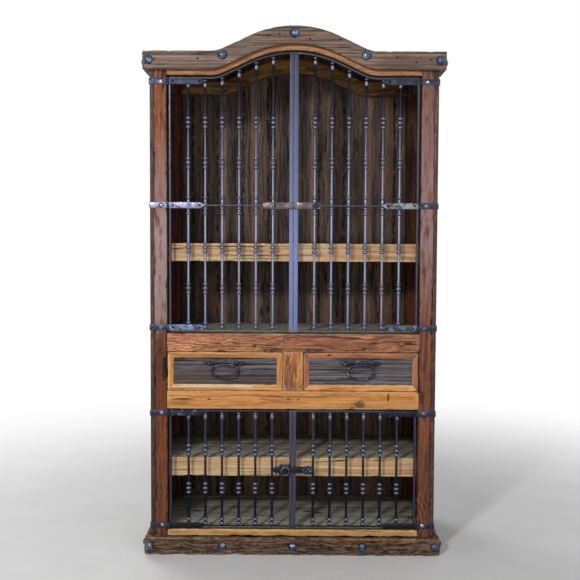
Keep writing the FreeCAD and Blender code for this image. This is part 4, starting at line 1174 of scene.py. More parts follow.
BACK_WOOD = WoodFinish(
    "back_wood", (30, 25, 23), (72, 60, 53), (118, 96, 80), (136, 98, 62), (8, 7, 6),
    patch_share=0.35, spread=1.1, stretch=42.0, contrast=0.8, rough=(0.5, 0.8), knot_share=0.6,
    wear=1.0, rubbed=(140, 108, 94))
BACK_HEADER_WOOD = WoodFinish(
    "back_header_wood", (52, 36, 20), (124, 90, 46), (176, 132, 68), (206, 150, 70), (44, 30, 18),
    patch_share=0.35, contrast=1.1, stretch=18.0, swirl=0.02, knot_share=0.5)
SHELF_WOOD = WoodFinish(
    "shelf_wood", (138, 106, 72), (196, 160, 118), (222, 192, 152), (198, 154, 116),
    (226, 206, 170), stretch=60.0, bands=100.0, swirl=0.004, contrast=0.9, streaks=0.3)
SIDE_WOOD = WoodFinish(
    "side_wood", (36, 24, 20), (80, 54, 42), (118, 88, 70), (116, 70, 46), (24, 17, 15),
    spread=0.5, rough=(0.4, 0.6), gloss=0.3)

WOODS = {wood.name: wood for wood in (
    POST_WOOD, CROWN_WOOD, HEADER_WOOD, UPPER_RAIL_WOOD, GOLDEN_WOOD, PANEL_WOOD, BASE_WOOD,
    INNER_WOOD, SHELF_WOOD, BACK_WOOD, SIDE_WOOD)}

SATIN = (0.2, 0.3)
FORGED_IRON = IronFinish(
    "forged_iron", (44, 48, 60), (106, 114, 132), bare=0.35, rough=(0.24, 0.36), dent=0.0005,
    metal=0.85)
ROD_IRON = IronFinish(
    "rod_iron", (24, 28, 36), (124, 132, 152), bare=0.0, rough=(0.3, 0.4), dent=0.0, metal=0.85)
MEETING_IRON = IronFinish(
    "meeting_iron", (42, 46, 62), (110, 122, 166), bare=0.0, rough=(0.5, 0.6), dent=0.0, metal=0.3)
STRAP_IRON = IronFinish(
    "strap_iron", (34, 38, 54), (84, 94, 124), bare=0.45, chisel=0.5, rough=(0.28, 0.42))
SLATE_IRON = IronFinish(
    "slate_iron", (36, 42, 58), (56, 66, 88), dent=0.0005, rough=(0.4, 0.5))
COIL_IRON = IronFinish(
    "coil_iron", (28, 29, 44), (104, 110, 146), chisel=0.8, dent=0.002, rough=(0.2, 0.34),
    dimples=200.0)
HATCHED_IRON = IronFinish(
    "hatched_iron", (58, 66, 90), (128, 138, 172), bare=0.6, chisel=0.7, dent=0.0014,
    rough=(0.3, 0.45), dimples=160.0)
# The pale colour is a painted reflection: it goes on the left middle straps.
PALE_IRON = IronFinish(
    "pale_iron", (76, 80, 104), (128, 133, 162), bare=0.7, rough=(0.3, 0.45), metal=0.5)
SPOTTED_IRON = IronFinish(
    "spotted_iron", (46, 52, 56), (130, 136, 144), bare=0.66, rough=(0.3, 0.5), metal=0.5,
    dent=0.0016, dimples=200.0)
MOTTLED_IRON = IronFinish(
    "mottled_iron", (42, 50, 58), (118, 130, 142), bare=0.5, rough=(0.3, 0.5), metal=0.5,
    dent=0.0014, dimples=220.0)
BRIGHT_IRON = IronFinish(
    "bright_iron", (80, 84, 98), (182, 184, 196), bare=0.5, rough=(0.2, 0.35), metal=0.8)
DULL_IRON = IronFinish(
    "dull_iron", (46, 45, 57), (70, 70, 87), dimples=45.0, dent=0.0004, rough=(0.36, 0.46),
    metal=0.8)
DARK_IRON = IronFinish(
    "dark_iron", (26, 29, 37), (76, 81, 95), bare=0.25, dent=0.001, rough=(0.28, 0.42))
PULL_IRON = IronFinish(
    "pull_iron", (38, 42, 44), (96, 107, 108), bare=0.3, dent=0.0018, rough=(0.24, 0.4),
    dimples=170.0)
BAIL_IRON = IronFinish(
    "bail_iron", (48, 47, 58), (128, 127, 142), dent=0.0005, rough=SATIN, metal=0.85)
ROSETTE_IRON = IronFinish(
    "rosette_iron", (44, 48, 62), (112, 120, 148), dent=0.0008, rough=(0.24, 0.38))
CLAVO_IRON = IronFinish(
    "clavo_iron", (62, 76, 92), (140, 158, 180), bare=0.45, dimples=60.0, dent=0.0006,
    rough=(0.16, 0.28), metal=0.9)
COPPER_IRON = IronFinish(
    "copper_iron", (78, 67, 69), (124, 109, 111), bare=0.5, rough=(0.3, 0.5), metal=0.6)


@dataclass(frozen=True)
class Arch:
    """The line of the arch: flat, a bend up, a straight ramp and a round top.

    Attributes:
        rise: How far the top stands above the flats.
        half: Where the flats end, from the centre.
        bend: The radius of the bend.
        slope: The slope of the ramp.
    """

    rise: float = 0.100
    half: float = 0.335
    bend: float = 0.128
    slope: float = 0.4663

    @property
    def lean(self) -> Ring:
        """The sine and the cosine of the ramp's angle."""
        length = math.hypot(1, self.slope)
        return self.slope / length, 1 / length

    @property
    def crown(self) -> float:
        """The radius of the round top."""
        sine, cosine = self.lean
        return (self.half * sine - self.rise * cosine) / (1 - cosine) - self.bend

    def up(self, across: float) -> float:
        """How far the line stands above its flats.

        Args:
            across: The distance from the centre line, on either side.

        Returns:
            The height above the flats.
        """
        sine, cosine = self.lean
        out = abs(across)
        if out >= self.half:
            return 0.0
        if out <= self.crown * sine:
            return self.rise - self.crown + math.sqrt(self.crown ** 2 - out ** 2)
        if out >= self.half - self.bend * sine:
            return self.bend - math.sqrt(self.bend ** 2 - (self.half - out) ** 2)
        return self.rise - self.crown * (1 - cosine) - (out - self.crown * sine) * self.slope

    def lift(self, piece: Piece) -> None:
        """Raise a straight piece along the arch."""
        raise_by(piece, self.rise, lambda spot: self.up(spot.x) / self.rise)


ARCH = Arch()
RAIL_TONE = ((-0.34, 0.95), (-0.1686, 0.35))


@dataclass(frozen=True)
class Gouge:
    """A hollow knocked out of a board.

    Attributes:
        middle: Its middle.
        reach: How far it reaches each way.
        push: How far its middle is pushed in.
    """

    middle: tuple[float, float, float]
    reach: tuple[float, float, float]
    push: tuple[float, float, float]

    def cut(self, piece: Piece) -> None:
        """Push the hollow into a cut board, and give it the edge mark, so that it takes the edge
        colour.

        Args:
            piece: The board.
        """
        marks = piece.data.attributes["edge"].data
        for vertex in piece.data.vertices:
            away = Vector([(spot - middle) / reach for spot, middle, reach
                           in zip(vertex.co, self.middle, self.reach)]).length
            if away < 1:
                share = (1 - away) ** 2 * (1 + 2 * away)
                vertex.co += Vector(self.push) * share
                marks[vertex.index].value = max(marks[vertex.index].value,
                                                min(share * 1.6, 1.0))


@dataclass
class Carcass:
    """The wooden case: posts, rails, headers, planks, floors, shelves and runners.

    Attributes:
        side_planks: How many planks each side has.
        back_planks: How many planks the back has.
        overlap: How far planks run into each other, so that no light shows between them.
        seat: How far a rail runs into its post.
        shelf_boards: How many boards a floor or a shelf has.
        pale_strips: Where the back shows pale worn strips, across.
    """

    side_planks: int = 4
    back_planks: int = 10
    overlap: float = 0.0012
    seat: float = 0.0006
    shelf_boards: int = 3
    pale_strips: tuple[float, ...] = (-0.325, -0.18, 0.09, 0.34)

    def build(self) -> None:
        """Build every wooden piece of the case."""
        self.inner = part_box("front_right_post")[0].x
        self.posts()
        self.rails()
        self.headers()
        self.sides()
        self.back()
        self.roof()
        self.floors()
        self.shelves()
        self.hidden_rails()

    def wooden(self, pieces: Sequence[Piece], node: str,
               finish: WoodFinish | None = None) -> None:
        """Join boards into the piece that stands for a node."""
        present(pieces, node, finish if finish else WOODS[SLOT_OF[node]])

    def posts(self) -> None:
        """The four corner posts; the front ones get a painted sheen by height and a brightness by
        height.
        """
        # Painted sheen: how strongly the mauve rubbed colour lies on each front post, by height.
        rubbed = {Side.LEFT: ((0.88, 0.0), (0.97, 0.8), (1.3, 0.95), (1.55, 0.45), (1.75, 0.0)),
                  Side.RIGHT: ((0.95, 0.05), (1.3, 0.75), (1.7, 0.4), (2.0, 0.2))}
        tones = {Side.LEFT: ((0.5, 0.4), (0.75, 0.2), (0.95, 0.5), (1.7, 1.0)),
                 Side.RIGHT: ((0.5, 0.5), (0.95, 0.7), (1.7, 0.9), (1.95, 0.5))}
        wear = Wear(arris=0.003, ripple=0.0012, warp=0.002, chip=0.006, chip_floor=0.6,
                    across=0.01, cell=0.02)
        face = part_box("front_left_post")[0].y + 0.012
        for row in ("front", "back"):
            for side in Side:
                node = f"{row}_{side.word}_post"
                low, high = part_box(node)
                left_front = node == "front_left_post"
                # The left front post's hollow takes the dark edge colour: painted shade.
                dent = self.post_dent(low, high).cut if left_front else None
                post = board(node, low, high, wear, reshape=dent)
                paint(post, "tone", lambda spot: along(spot.z, tones[side])
                      if spot.y < face else 0.0)
                if row == "front":
                    paint(post, "bare", lambda spot: along(spot.z, rubbed[side])
                          if spot.y < face else 0.0)
                self.wooden([post], node, LEFT_POST_WOOD if left_front else None)

    def post_dent(self, low: Vector, high: Vector) -> Gouge:
        """The hollow by the drawers in the left front post."""
        up = (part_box("left_drawer_panel")[0].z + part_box("left_drawer_panel")[1].z) / 2
        return Gouge((high.x - 0.008, low.y, up), (0.026, 0.05, 0.07), (0, 0.012, 0))

    def rails(self) -> None:
        """The front rails and the divider between the drawers."""
        wear = Wear(arris=0.002, chip=0.004, chip_floor=0.6, across=0.012)
        for node in ("upper_mid_rail", "lower_mid_rail", "bottom_rail"):
            low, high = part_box(node)
            low.x, high.x = -self.inner - self.seat, self.inner + self.seat
            rail = board(node, low, high, wear)
            if node == "upper_mid_rail":
                paint(rail, "tone", lambda spot: along(spot.x, RAIL_TONE))
            self.wooden([rail], node, PALE_WOOD if node == "bottom_rail" else None)
        node = "drawer_divider"
        self.wooden([board(node, *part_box(node), wear, Axis.Z)], node, DIVIDER_WOOD)

    def headers(self) -> None:
        """The arched headers at the front and the back."""
        for node, finish in (("front_header", HEADER_WOOD), ("back_header", BACK_HEADER_WOOD)):
            low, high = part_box(node)
            low.x, high.x = -self.inner - self.seat, self.inner + self.seat
            high.z -= ARCH.rise
            wear = Wear(arris=0.002, chip=0.001, warp=0.0, cell=0.02)
            self.wooden([board(node, low, high, wear, Axis.X, ARCH.lift)], node, finish)

    def sides(self) -> None:
        """The vertical planks of the two sides."""
        wear = Wear(arris=0.0022, chip=0.0, across=0.02, warp=0.001)
        for side in Side:
            node = f"{side.word}_side_planks"
            low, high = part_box(node)
            stretches = self.stretches(low.y, high.y, self.side_planks)
            self.wooden([board(f"{node}_{index}", (low.x, start, low.z), (high.x, end, high.z),
                               wear) for index, (start, end) in enumerate(stretches)], node)

    def stretches(self, start: float, end: float, count: int) -> list[Ring]:
        """The ends of planks side by side, each running a little into the one before it."""
        wide = (end - start) / count
        return [(start + wide * index - (self.overlap if index else 0),
                 start + wide * (index + 1)) for index in range(count)]

    def roof_up(self, across: float) -> float:
        """How far the roof's underside stands above its flats, planked in straight pieces."""
        return along(abs(across), self.roof_stops())

    def roof_stops(self) -> list[Ring]:
        """The joints between the roof planks: distance from the centre and height."""
        sine = ARCH.lean[0]
        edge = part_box("right_side_planks")[1].x
        outs = [0.0, ARCH.crown * sine / 2, ARCH.crown * sine, ARCH.half - ARCH.bend * sine,
                ARCH.half, (ARCH.half + edge) / 2, edge]
        return [(out, ARCH.up(out)) for out in outs]

    def back(self) -> None:
        """The vertical planks of the back, up to the roof."""
        low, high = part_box("back_planks")
        level = high.z - ARCH.rise
        wear = Wear(arris=0.0035, chip=0.0, ripple=0.0005, across=0.016, warp=0.0)

        def to_roof(piece: Piece) -> None:
            """Raise a plank's upper half to the roof."""
            raise_by(piece, ARCH.rise,
                     lambda spot: self.roof_up(spot.x) / ARCH.rise * (spot.z - low.z)
                     / (level - low.z))

        planks = []
        for index, (start, end) in enumerate(self.stretches(low.x, high.x, self.back_planks)):
            plank = board(f"back_plank_{index}", (start, low.y, low.z), (end, high.y, level),
                          wear, Axis.Z, to_roof)
            paint(plank, "bare", lambda spot: 0.8 if spot.y < low.y + 0.003 and min(
                abs(spot.x - strip) for strip in self.pale_strips) < 0.013 else 0.0)
            planks.append(plank)
        self.wooden(planks, "back_planks")

    def roof(self) -> None:
        """The roof planks, from front to back over the headers."""
        low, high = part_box("roof_planks")
        wear = Wear(arris=0.002, chip=0.002, across=0.03, warp=0.0)
        outs = [out for out, _ in self.roof_stops()]

        def tilt(piece: Piece) -> None:
            """Raise a plank's ends to the roof line."""
            raise_by(piece, ARCH.rise, lambda spot: self.roof_up(spot.x) / ARCH.rise)

        planks = []
        for side in Side:
            for index, (near, far) in enumerate(zip(outs, outs[1:])):
                span = side.span(near, far, (low.y, high.y), (low.z, high.z - ARCH.rise))
                planks.append(board(f"roof_{side.word}_{index}", *span, wear, Axis.Y, tilt))
        self.wooden(planks, "roof_planks")

    def deck(self, node: str, start: float, top: float, thick: float) -> list[Piece]:
        """The boards of a floor or a shelf behind a front line.

        Args:
            node: The node that they belong to.
            start: Where the first board starts, from front to back.
            top: The height of their upper face.
            thick: How thick they are.

        Returns:
            The boards.
        """
        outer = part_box("left_side_planks")[1].x
        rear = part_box("back_right_post")[0].y
        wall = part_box("back_planks")[0].y
        boards = []
        wide = (rear - start) / self.shelf_boards
        for index in range(self.shelf_boards):
            boards.append(board(f"{node}_{index}", (outer, start + wide * index, top - thick),
                                (-outer, start + wide * (index + 1), top), INNER_WEAR))
        boards.append(board(f"{node}_rear", (-self.inner, rear, top - thick),
                            (self.inner, wall, top), INNER_WEAR))
        return boards

    def floors(self) -> None:
        """The floors of the two compartments."""
        behind_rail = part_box("bottom_rail")[1].y
        behind_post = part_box("front_right_post")[1].y
        for node in ("bottom_floor", "upper_floor"):
            low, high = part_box(node)
            boards = self.deck(node, behind_post, high.z, high.z - low.z)
            boards.append(board(f"{node}_front", (-self.inner, behind_rail, low.z),
                                (self.inner, behind_post, high.z), INNER_WEAR))
            self.wooden(boards, node, DECK_WOOD)

    def shelves(self) -> None:
        """The shelves with their deep fascias."""
        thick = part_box("bottom_floor")[1].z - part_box("bottom_floor")[0].z
        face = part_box("shelf_cleats")[0].y
        wear = Wear(arris=0.003, chip=0.004, across=0.014)
        for node in ("upper_shelf", "lower_shelf"):
            low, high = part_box(node)
            boards = [dressed(one, DECK_WOOD) for one in self.deck(node, face, high.z, thick)]
            boards.append(board(f"{node}_fascia", (-self.inner, low.y, low.z),
                                (self.inner, face, high.z), wear))
            self.wooden(boards, node)

    def hidden_rails(self) -> None:
        """Finish the inner rails, cleats and runners, whose sawn shape is right as it is."""
        for node in ("inner_rails", "shelf_cleats", "drawer_runners"):
            dress_sawn(node, INNER_WOOD)


def dress_sawn(node: str, finish: WoodFinish) -> None:
    """Rebuild a node of plain sawn boards with grain, from its own solids.

    Args:
        node: A node made of squared boards.
        finish: Its wood.
    """
    clear_selection()
    twin = copied(frame["nodes"][node], f"{node}_sawn", Matrix.Identity(4))
    twin.parent = None
    for key in list(twin.keys()):
        del twin[key]
    with editing(twin, "VERT"):
        bpy.ops.mesh.select_all(action="SELECT")
        bpy.ops.mesh.remove_doubles(threshold=WELD)
    modify(twin, "BEVEL", width=0.0012, segments=2, limit_method="ANGLE")
    paint_grain(twin, Axis.Y, node)
    paint(twin, "edge", lambda spot: 0.0)
    smooth(twin)
    present([twin], node, finish)


@dataclass
class NailedBoards:
    """The crown or the base: a front board, two side boards and their domed nails.

    Attributes:
        name: crown or base.
        wear: How worn the boards are.
        finish: Their wood.
        arched: Whether the front board follows the arch.
        gouges: The hollows knocked out of the front board.
    """

    name: str
    wear: Wear
    finish: WoodFinish
    arched: bool
    gouges: tuple[Gouge, ...] = ()

    def shape(self, piece: Piece) -> None:
        """Bend the front board to the arch and knock the hollows out of it."""
        for gouge in self.gouges:
            gouge.cut(piece)
        if self.arched:
            ARCH.lift(piece)

    def build(self) -> None:
        """Build the boards and the nails."""
        node = f"{self.name}_front"
        low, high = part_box(node)
        if self.arched:
            high.z -= ARCH.rise
        front = board(node, low, high, self.wear, Axis.X, self.shape)
        present([front], node, self.finish)
        node = f"{self.name}_sides"
        low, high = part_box(node)
        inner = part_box("right_side_planks")[1].x
        sides = [board(f"{node}_{side.word}",
                       *side.span(inner, high.x, (low.y, high.y), (low.z, high.z)),
                       self.wear, Axis.Y) for side in Side]
        present(sides, node, self.finish)
        self.nails()

    def nails(self) -> None:
        """The domed nails, five in front and two on each end."""
        node = f"{self.name}_clavos"
        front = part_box(f"{self.name}_front")[0].y
        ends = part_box(f"{self.name}_sides")[1].x
        nails = []
        pattern = None
        for index, (low, high) in enumerate(islands(node)):
            middle = (low + high) / 2
            facing_front = low.y < front - WELD
            radius = (high.z - low.z) / 2
            if pattern is None:
                pattern = domed_nail("nail", radius, front - low.y if facing_front else 0.014)
            sign = 1 if middle.x > 0 else -1
            turn = Matrix.Rotation(QUARTER * sign, 4, "Y")
            place = Vector((ends * sign, middle.y, middle.z))
            if facing_front:
                turn = Matrix.Rotation(QUARTER, 4, "X")
                place = Vector((middle.x, front, middle.z))
            spin = Matrix.Rotation(index * 2.1, 4, "Z")
            nails.append(copied(pattern, f"{node}_{index}",
                                Matrix.Translation(place) @ turn @ spin))
        removed(pattern)
        present(nails, node, CLAVO_IRON)


def domed_nail(name: str, radius: float, rise: float, sides: int = 28) -> Piece:
    """A domed nail head on the origin, rising along +Z, with a thin rim.

    Args:
        name: Its name.
        radius: Its radius.
        rise: How far it rises.
        sides: How many sides it has.

    Returns:
        The nail head.
    """
    curve = (radius ** 2 + rise ** 2) / (2 * rise)
    rings = [(0.0, radius)]
    for step in range(1, 9):
        up = rise * (1 - (1 - step / 9) ** 1.6)
        reach = math.sqrt(max(curve ** 2 - (up + curve - rise) ** 2, 0))
        rings.append((up, max(reach, radius * 0.04)))
    rings.append((rise, radius * 0.04))
    piece = turned(name, rings, sides)
    hammered(piece, clouds("hammer", 0.012, 1), 0.0006)
    return smooth(piece)


def iron_bar(name: str, low: Place, high: Place, cell: float = 0.02,
             arris: float = 0.0009, reshape: Reshape = None,
             hammer: float = 0.0005, shine: float = 0.6) -> Piece:
    """A forged flat bar between two corners, with soft edges and a hammered face.

    Args:
        name: The bar's name.
        low: The lowest corner.
        high: The highest corner.
        cell: The length of the cells that it is cut into.
        arris: The width of its soft edges.
        reshape: Bends the cut bar before it is hammered.
        hammer: How uneven its faces are.
        shine: How bright its edges are painted, a painted highlight along them.

    Returns:
        The bar.
    """
    piece = block(name, low, high)
    modify(piece, "BEVEL", width=arris, segments=2, limit_method="NONE")
    for axis in Axis:
        cut_cells(piece, axis, cell)
    # Painted highlight along the bar's edges.
    paint(piece, "bare", lambda spot: shine if on_edge(spot, low, high, arris) else 0.0)
    if reshape:
        reshape(piece)
    hammered(piece, clouds("forging", 0.03, 2), hammer)
    return smooth(piece)


@dataclass(frozen=True)
class Knuckle:
    """The rolled knuckle of a hinge.

    Attributes:
        radius: Its radius.
        tall: How tall it is.
    """

    radius: float = 0.0045
    tall: float = 0.0088

    def barrel(self, middle: Place) -> Piece:
        """One knuckle about a place, with softened ends."""
        half = self.tall / 2
        rings = [(-half, self.radius * 0.9), (-half + 0.0006, self.radius),
                 (half - 0.0006, self.radius), (half, self.radius * 0.9)]
        return dressed(placed(smooth(turned("knuckle", rings, 20)), middle), BAIL_IRON)


KNUCKLE = Knuckle()
MEETING_WIDE = {Level.UPPER: 0.017, Level.LOWER: 0.013}
# Painted reflection: how bright the meeting bars are painted, by height, brightest at 1.2 m up.
MEETING_GLOW = ((0.95, 0.75), (1.2, 0.95), (1.5, 0.6), (2.05, 0.0))
# Painted reflection: how bright the balusters are painted, by height, brightest between 1.1 and
# 1.4 m up.
ROD_GLOW = ((0.3, 0.0), (0.5, 0.25), (0.62, 0.3), (1.1, 1.0), (1.4, 1.0), (1.8, 0.0))


@dataclass
class GrilleDoor:
    """A door of flat bars set on edge, with turned balusters and strap hinges.

    Attributes:
        level: The upper or the lower pair.
        side: The hand of the door.
        bar: How thick its flat bars are.
        middle_bar: How thick its middle bar is.
        rods: How many balusters it has.
        rod: Their radius.
        bead: The radius that the balusters' outer places are measured to.
        disc: The height and radius of the small beads; so have bell, ball, knob, cap, skirt.
        neck: The gap between two beads.
        end_neck: The gap between a bead and a bar.
        strap_thick: How thick the straps are.
        strap_tall: How tall they are.
    """

    level: Level
    side: Side
    bar: float = 0.008
    middle_bar: float = 0.005
    rods: int = 6
    rod: float = 0.0052
    bead: float = 0.01
    disc: Ring = (0.0135, 0.0104)
    bell: Ring = (0.0150, 0.0117)
    ball: Ring = (0.014, 0.0104)
    knob: Ring = (0.022, 0.0088)
    cap: Ring = (0.008, 0.0094)
    skirt: Ring = (0.015, 0.0096)
    neck: float = 0.0035
    end_neck: float = 0.004
    strap_thick: float = 0.003
    strap_tall: float = 0.024

    def build(self) -> None:
        """Build the frame, the balusters and the straps."""
        self.name = f"{self.level.value}_{self.side.word}_door"
        self.upper = self.level is Level.UPPER
        low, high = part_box(f"{self.name}_frame")
        self.near, self.far = self.side.ends(low.x, high.x)
        self.depths = (low.y, high.y)
        self.bottom, self.top = low.z, high.z
        if self.upper:
            self.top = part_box(f"{self.name}_straps")[1].z + 0.018 - self.strap_tall / 2
        self.middle = (self.bottom + self.top) / 2
        self.frame_bars()
        self.balusters()
        self.straps()

    def span(self, near: float, far: float, low: float, high: float,
             depths: Ring | None = None) -> Box:
        """The corners of a bar between two distances from the centre and two heights."""
        return self.side.span(near, far, depths if depths else self.depths, (low, high))

    def flat(self, name: str, *ends: float, **looks: object) -> Piece:
        """A bar of the frame, between two distances from the centre and two heights."""
        return iron_bar(name, *self.span(*ends), **looks)

    def frame_bars(self) -> None:
        """The flat bars round the door."""
        node = f"{self.name}_frame"
        meet = self.near + MEETING_WIDE[self.level]
        inner = self.far - self.bar
        meeting = self.flat("meeting_bar", self.near, meet, self.bottom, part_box(node)[1].z,
                            arris=0.0006, hammer=0.0002, shine=0.0)
        # Paint the meeting bar's reflection on by height.
        paint(meeting, "bare", lambda spot: along(spot.z, MEETING_GLOW))
        # The shine values paint highlights along the bars' edges, brighter on the right door's top
        # bar.
        hinge = self.flat("hinge_bar", inner, self.far, self.bottom, self.top, shine=0.4)
        bottom = self.flat("bottom_bar", meet, inner, self.bottom, self.bottom + self.bar,
                           shine=0.4)
        top = self.flat("top_bar", meet, self.far, self.top - self.bar, self.top,
                        reshape=ARCH.lift if self.upper else None, cell=0.012, arris=0.0012,
                        shine=0.2 if self.side is Side.LEFT else 0.5)
        bars = [dressed(meeting, MEETING_IRON if self.upper else DULL_IRON), hinge,
                dressed(bottom, PULL_IRON), top]
        if self.upper:
            half = self.middle_bar / 2
            bars.append(dressed(self.flat("middle_bar", meet, inner, self.middle - half,
                                          self.middle + half, shine=0.8), DULL_IRON))
        present(bars, node, DARK_IRON)

    @property
    def pitch(self) -> float:
        """How far the middles of a bell and of the disc beside it are apart."""
        return self.bell[0] / 2 + self.neck + self.disc[0] / 2

    def collar(self, middle: float) -> list[Ring]:
        """A collar of three beads about a height."""
        return (bead(middle - self.pitch, *self.disc, self.rod)
                + bead(middle, *self.bell, self.rod)
                + bead(middle + self.pitch, *self.disc, self.rod))

    def foot(self, low: float) -> list[Ring]:
        """The ball and the disc that a baluster stands on."""
        rings = bead(low + self.end_neck + self.ball[0] / 2, *self.ball, self.rod)
        up = low + self.end_neck + self.ball[0] + self.neck + self.disc[0] / 2
        return [(low, self.rod)] + rings + bead(up, *self.disc, self.rod)

    def head(self, under: float) -> list[Ring]:
        """The long knob and the cap that a baluster ends in, under its top bar."""
        knob = under - self.cap[0] - self.end_neck - self.knob[0] / 2
        rings = bead(knob, *self.knob, self.rod, 8)
        cap = under - self.end_neck / 2 - self.cap[0] / 2
        return rings + bead(cap, *self.cap, self.rod, 4) + [(under, self.rod)]

    def balusters(self) -> None:
        """The turned balusters, in two runs on the upper doors."""
        node = f"{self.name}_balusters"
        low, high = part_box(node)
        first, last = self.side.ends(low.x + self.bead, high.x - self.bead)
        deep = (low.y + high.y) / 2
        pieces = []
        for index in range(self.rods):
            out = first + (last - first) * index / (self.rods - 1)
            place = (out * self.side.value, deep, 0)
            for run, rings in enumerate(self.runs(out)):
                piece = turned(f"{node}_{index}_{run}", rings, 14)
                paint(piece, "bare", self.rod_glow)
                smooth(piece, ROUND_ANGLE)
                pieces.append(placed(piece, place))
        present(pieces, node, ROD_IRON)

    def rod_glow(self, spot: Vector) -> float:
        """How bright a baluster is painted: a painted reflection by height, brighter on its beads.
        """
        if math.hypot(spot.x, spot.y) > self.rod * 1.2:
            return 0.6
        return along(spot.z, ROD_GLOW)

    def runs(self, out: float) -> list[list[Ring]]:
        """The rings of each run of one baluster, at a distance from the centre.

        Args:
            out: The baluster's distance from the centre.

        Returns:
            The rings of each run.
        """
        low = self.bottom + self.bar
        if self.level is Level.LOWER:
            run = self.top - self.bottom
            rings = self.foot(low)
            for share in (0.337, 0.661):
                rings += self.collar(self.bottom + share * run)
            return [rings + self.head(self.top - self.bar)]
        half = self.middle - self.bottom
        under_bar = self.middle - self.middle_bar / 2
        over_bar = self.middle + self.middle_bar / 2
        to_disc = self.end_neck + self.bell[0] / 2 + self.pitch
        below = self.foot(low)
        for share in (0.346, 0.668):
            below += self.collar(self.bottom + share * half)
        below += bead(under_bar - to_disc, *self.ball, self.rod)
        below += bead(under_bar - self.end_neck / 2 - self.disc[0] / 2, *self.disc, self.rod)
        below.append((under_bar, self.rod))
        tall, wide = self.skirt
        above = [(over_bar, wide * 0.96), (over_bar + 0.0012, wide)]
        above += [(over_bar + tall * share, self.rod + (wide - self.rod) * (1 - share) ** 1.3)
                  for share in (0.3, 0.55, 0.8, 1.0)]
        above += bead(over_bar + to_disc, *self.disc, self.rod)
        for share in (0.335, 0.649):
            above += self.collar(self.middle + share * half)
        under = self.top - self.bar + ARCH.up(out)
        return [below, above + self.head(under)]

    def heights(self) -> list[float]:
        """The heights of the door's hinges."""
        low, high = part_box(f"{self.name}_straps")
        ends = [low.z + self.strap_tall / 2, high.z - self.strap_tall / 2]
        return [ends[0], self.middle, ends[1]] if self.upper else ends

    def straps(self) -> None:
        """The pointed straps, their knuckles and their nails."""
        node = f"{self.name}_straps"
        low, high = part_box(node)
        tip = self.side.ends(low.x, high.x)[0]
        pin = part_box("hinge_pins")
        axis = (abs(pin[0].x) - 0.004, (pin[0].y + pin[1].y) / 2)
        front = self.depths[0] - self.strap_thick
        depths = (front, self.depths[0])
        pieces = []
        half = KNUCKLE.tall / 2
        for index, up in enumerate(self.heights()):
            iron = self.strap_finish(index)
            inner = axis[0] - KNUCKLE.radius
            tab = self.span(inner - 0.001, axis[0], up - half, up + half, depths)
            pieces += [dressed(self.leaf(f"{node}_{index}", tip, inner, up, depths), iron),
                       dressed(iron_bar("tab", *tab), iron),
                       KNUCKLE.barrel((axis[0] * self.side.value, axis[1], up))]
            for out in (self.far - 0.016, tip + 0.022):
                nail = domed_nail("strap_nail", 0.005, 0.0025, 14)
                pieces.append(facing(nail, (out * self.side.value, front, up)))
        present(pieces, node, DARK_IRON)

    def strap_finish(self, index: int) -> IronFinish:
        """The finish of a strap, counted from the lowest."""
        if self.level is Level.LOWER:
            return (DARK_IRON, COIL_IRON)[index]
        if self.side is Side.LEFT:
            # The left middle strap takes the pale iron: a painted reflection.
            return (HATCHED_IRON, PALE_IRON, SLATE_IRON)[index]
        return (MOTTLED_IRON, SPOTTED_IRON, SLATE_IRON)[index]

    def leaf(self, name: str, tip: float, inner: float, up: float,
             depths: tuple[float, float], point: float = 0.017) -> Piece:
        """The flat leaf of a strap, drawn out to a point at its tip.

        Args:
            name: Its name.
            tip: Where its tip is, from the centre.
            inner: Where its other end is.
            up: Its height.
            depths: Its front and back planes.
            point: How long its point is.

        Returns:
            The leaf.
        """
        low, high = self.span(tip + point, inner, up - self.strap_tall / 2,
                              up + self.strap_tall / 2, depths)
        piece = block(name, low, high)
        end = low.x if self.side is Side.RIGHT else high.x
        with editing(piece, "FACE"):
            pick(piece, "faces", lambda face: abs(face.calc_center_median().x - end) < WELD)
            bpy.ops.mesh.extrude_region_move(
                TRANSFORM_OT_translate={"value": (-self.side.value * point, 0, 0)})
            bpy.ops.transform.resize(value=(1, 1, 0.06),
                                     center_override=(tip * self.side.value, depths[0], up))
        modify(piece, "BEVEL", width=0.0009, segments=2, limit_method="ANGLE")
        cut_cells(piece, Axis.X, 0.012)
        hammered(piece, clouds("forging", 0.03, 2), 0.0007)
        smooth(piece)
        return piece


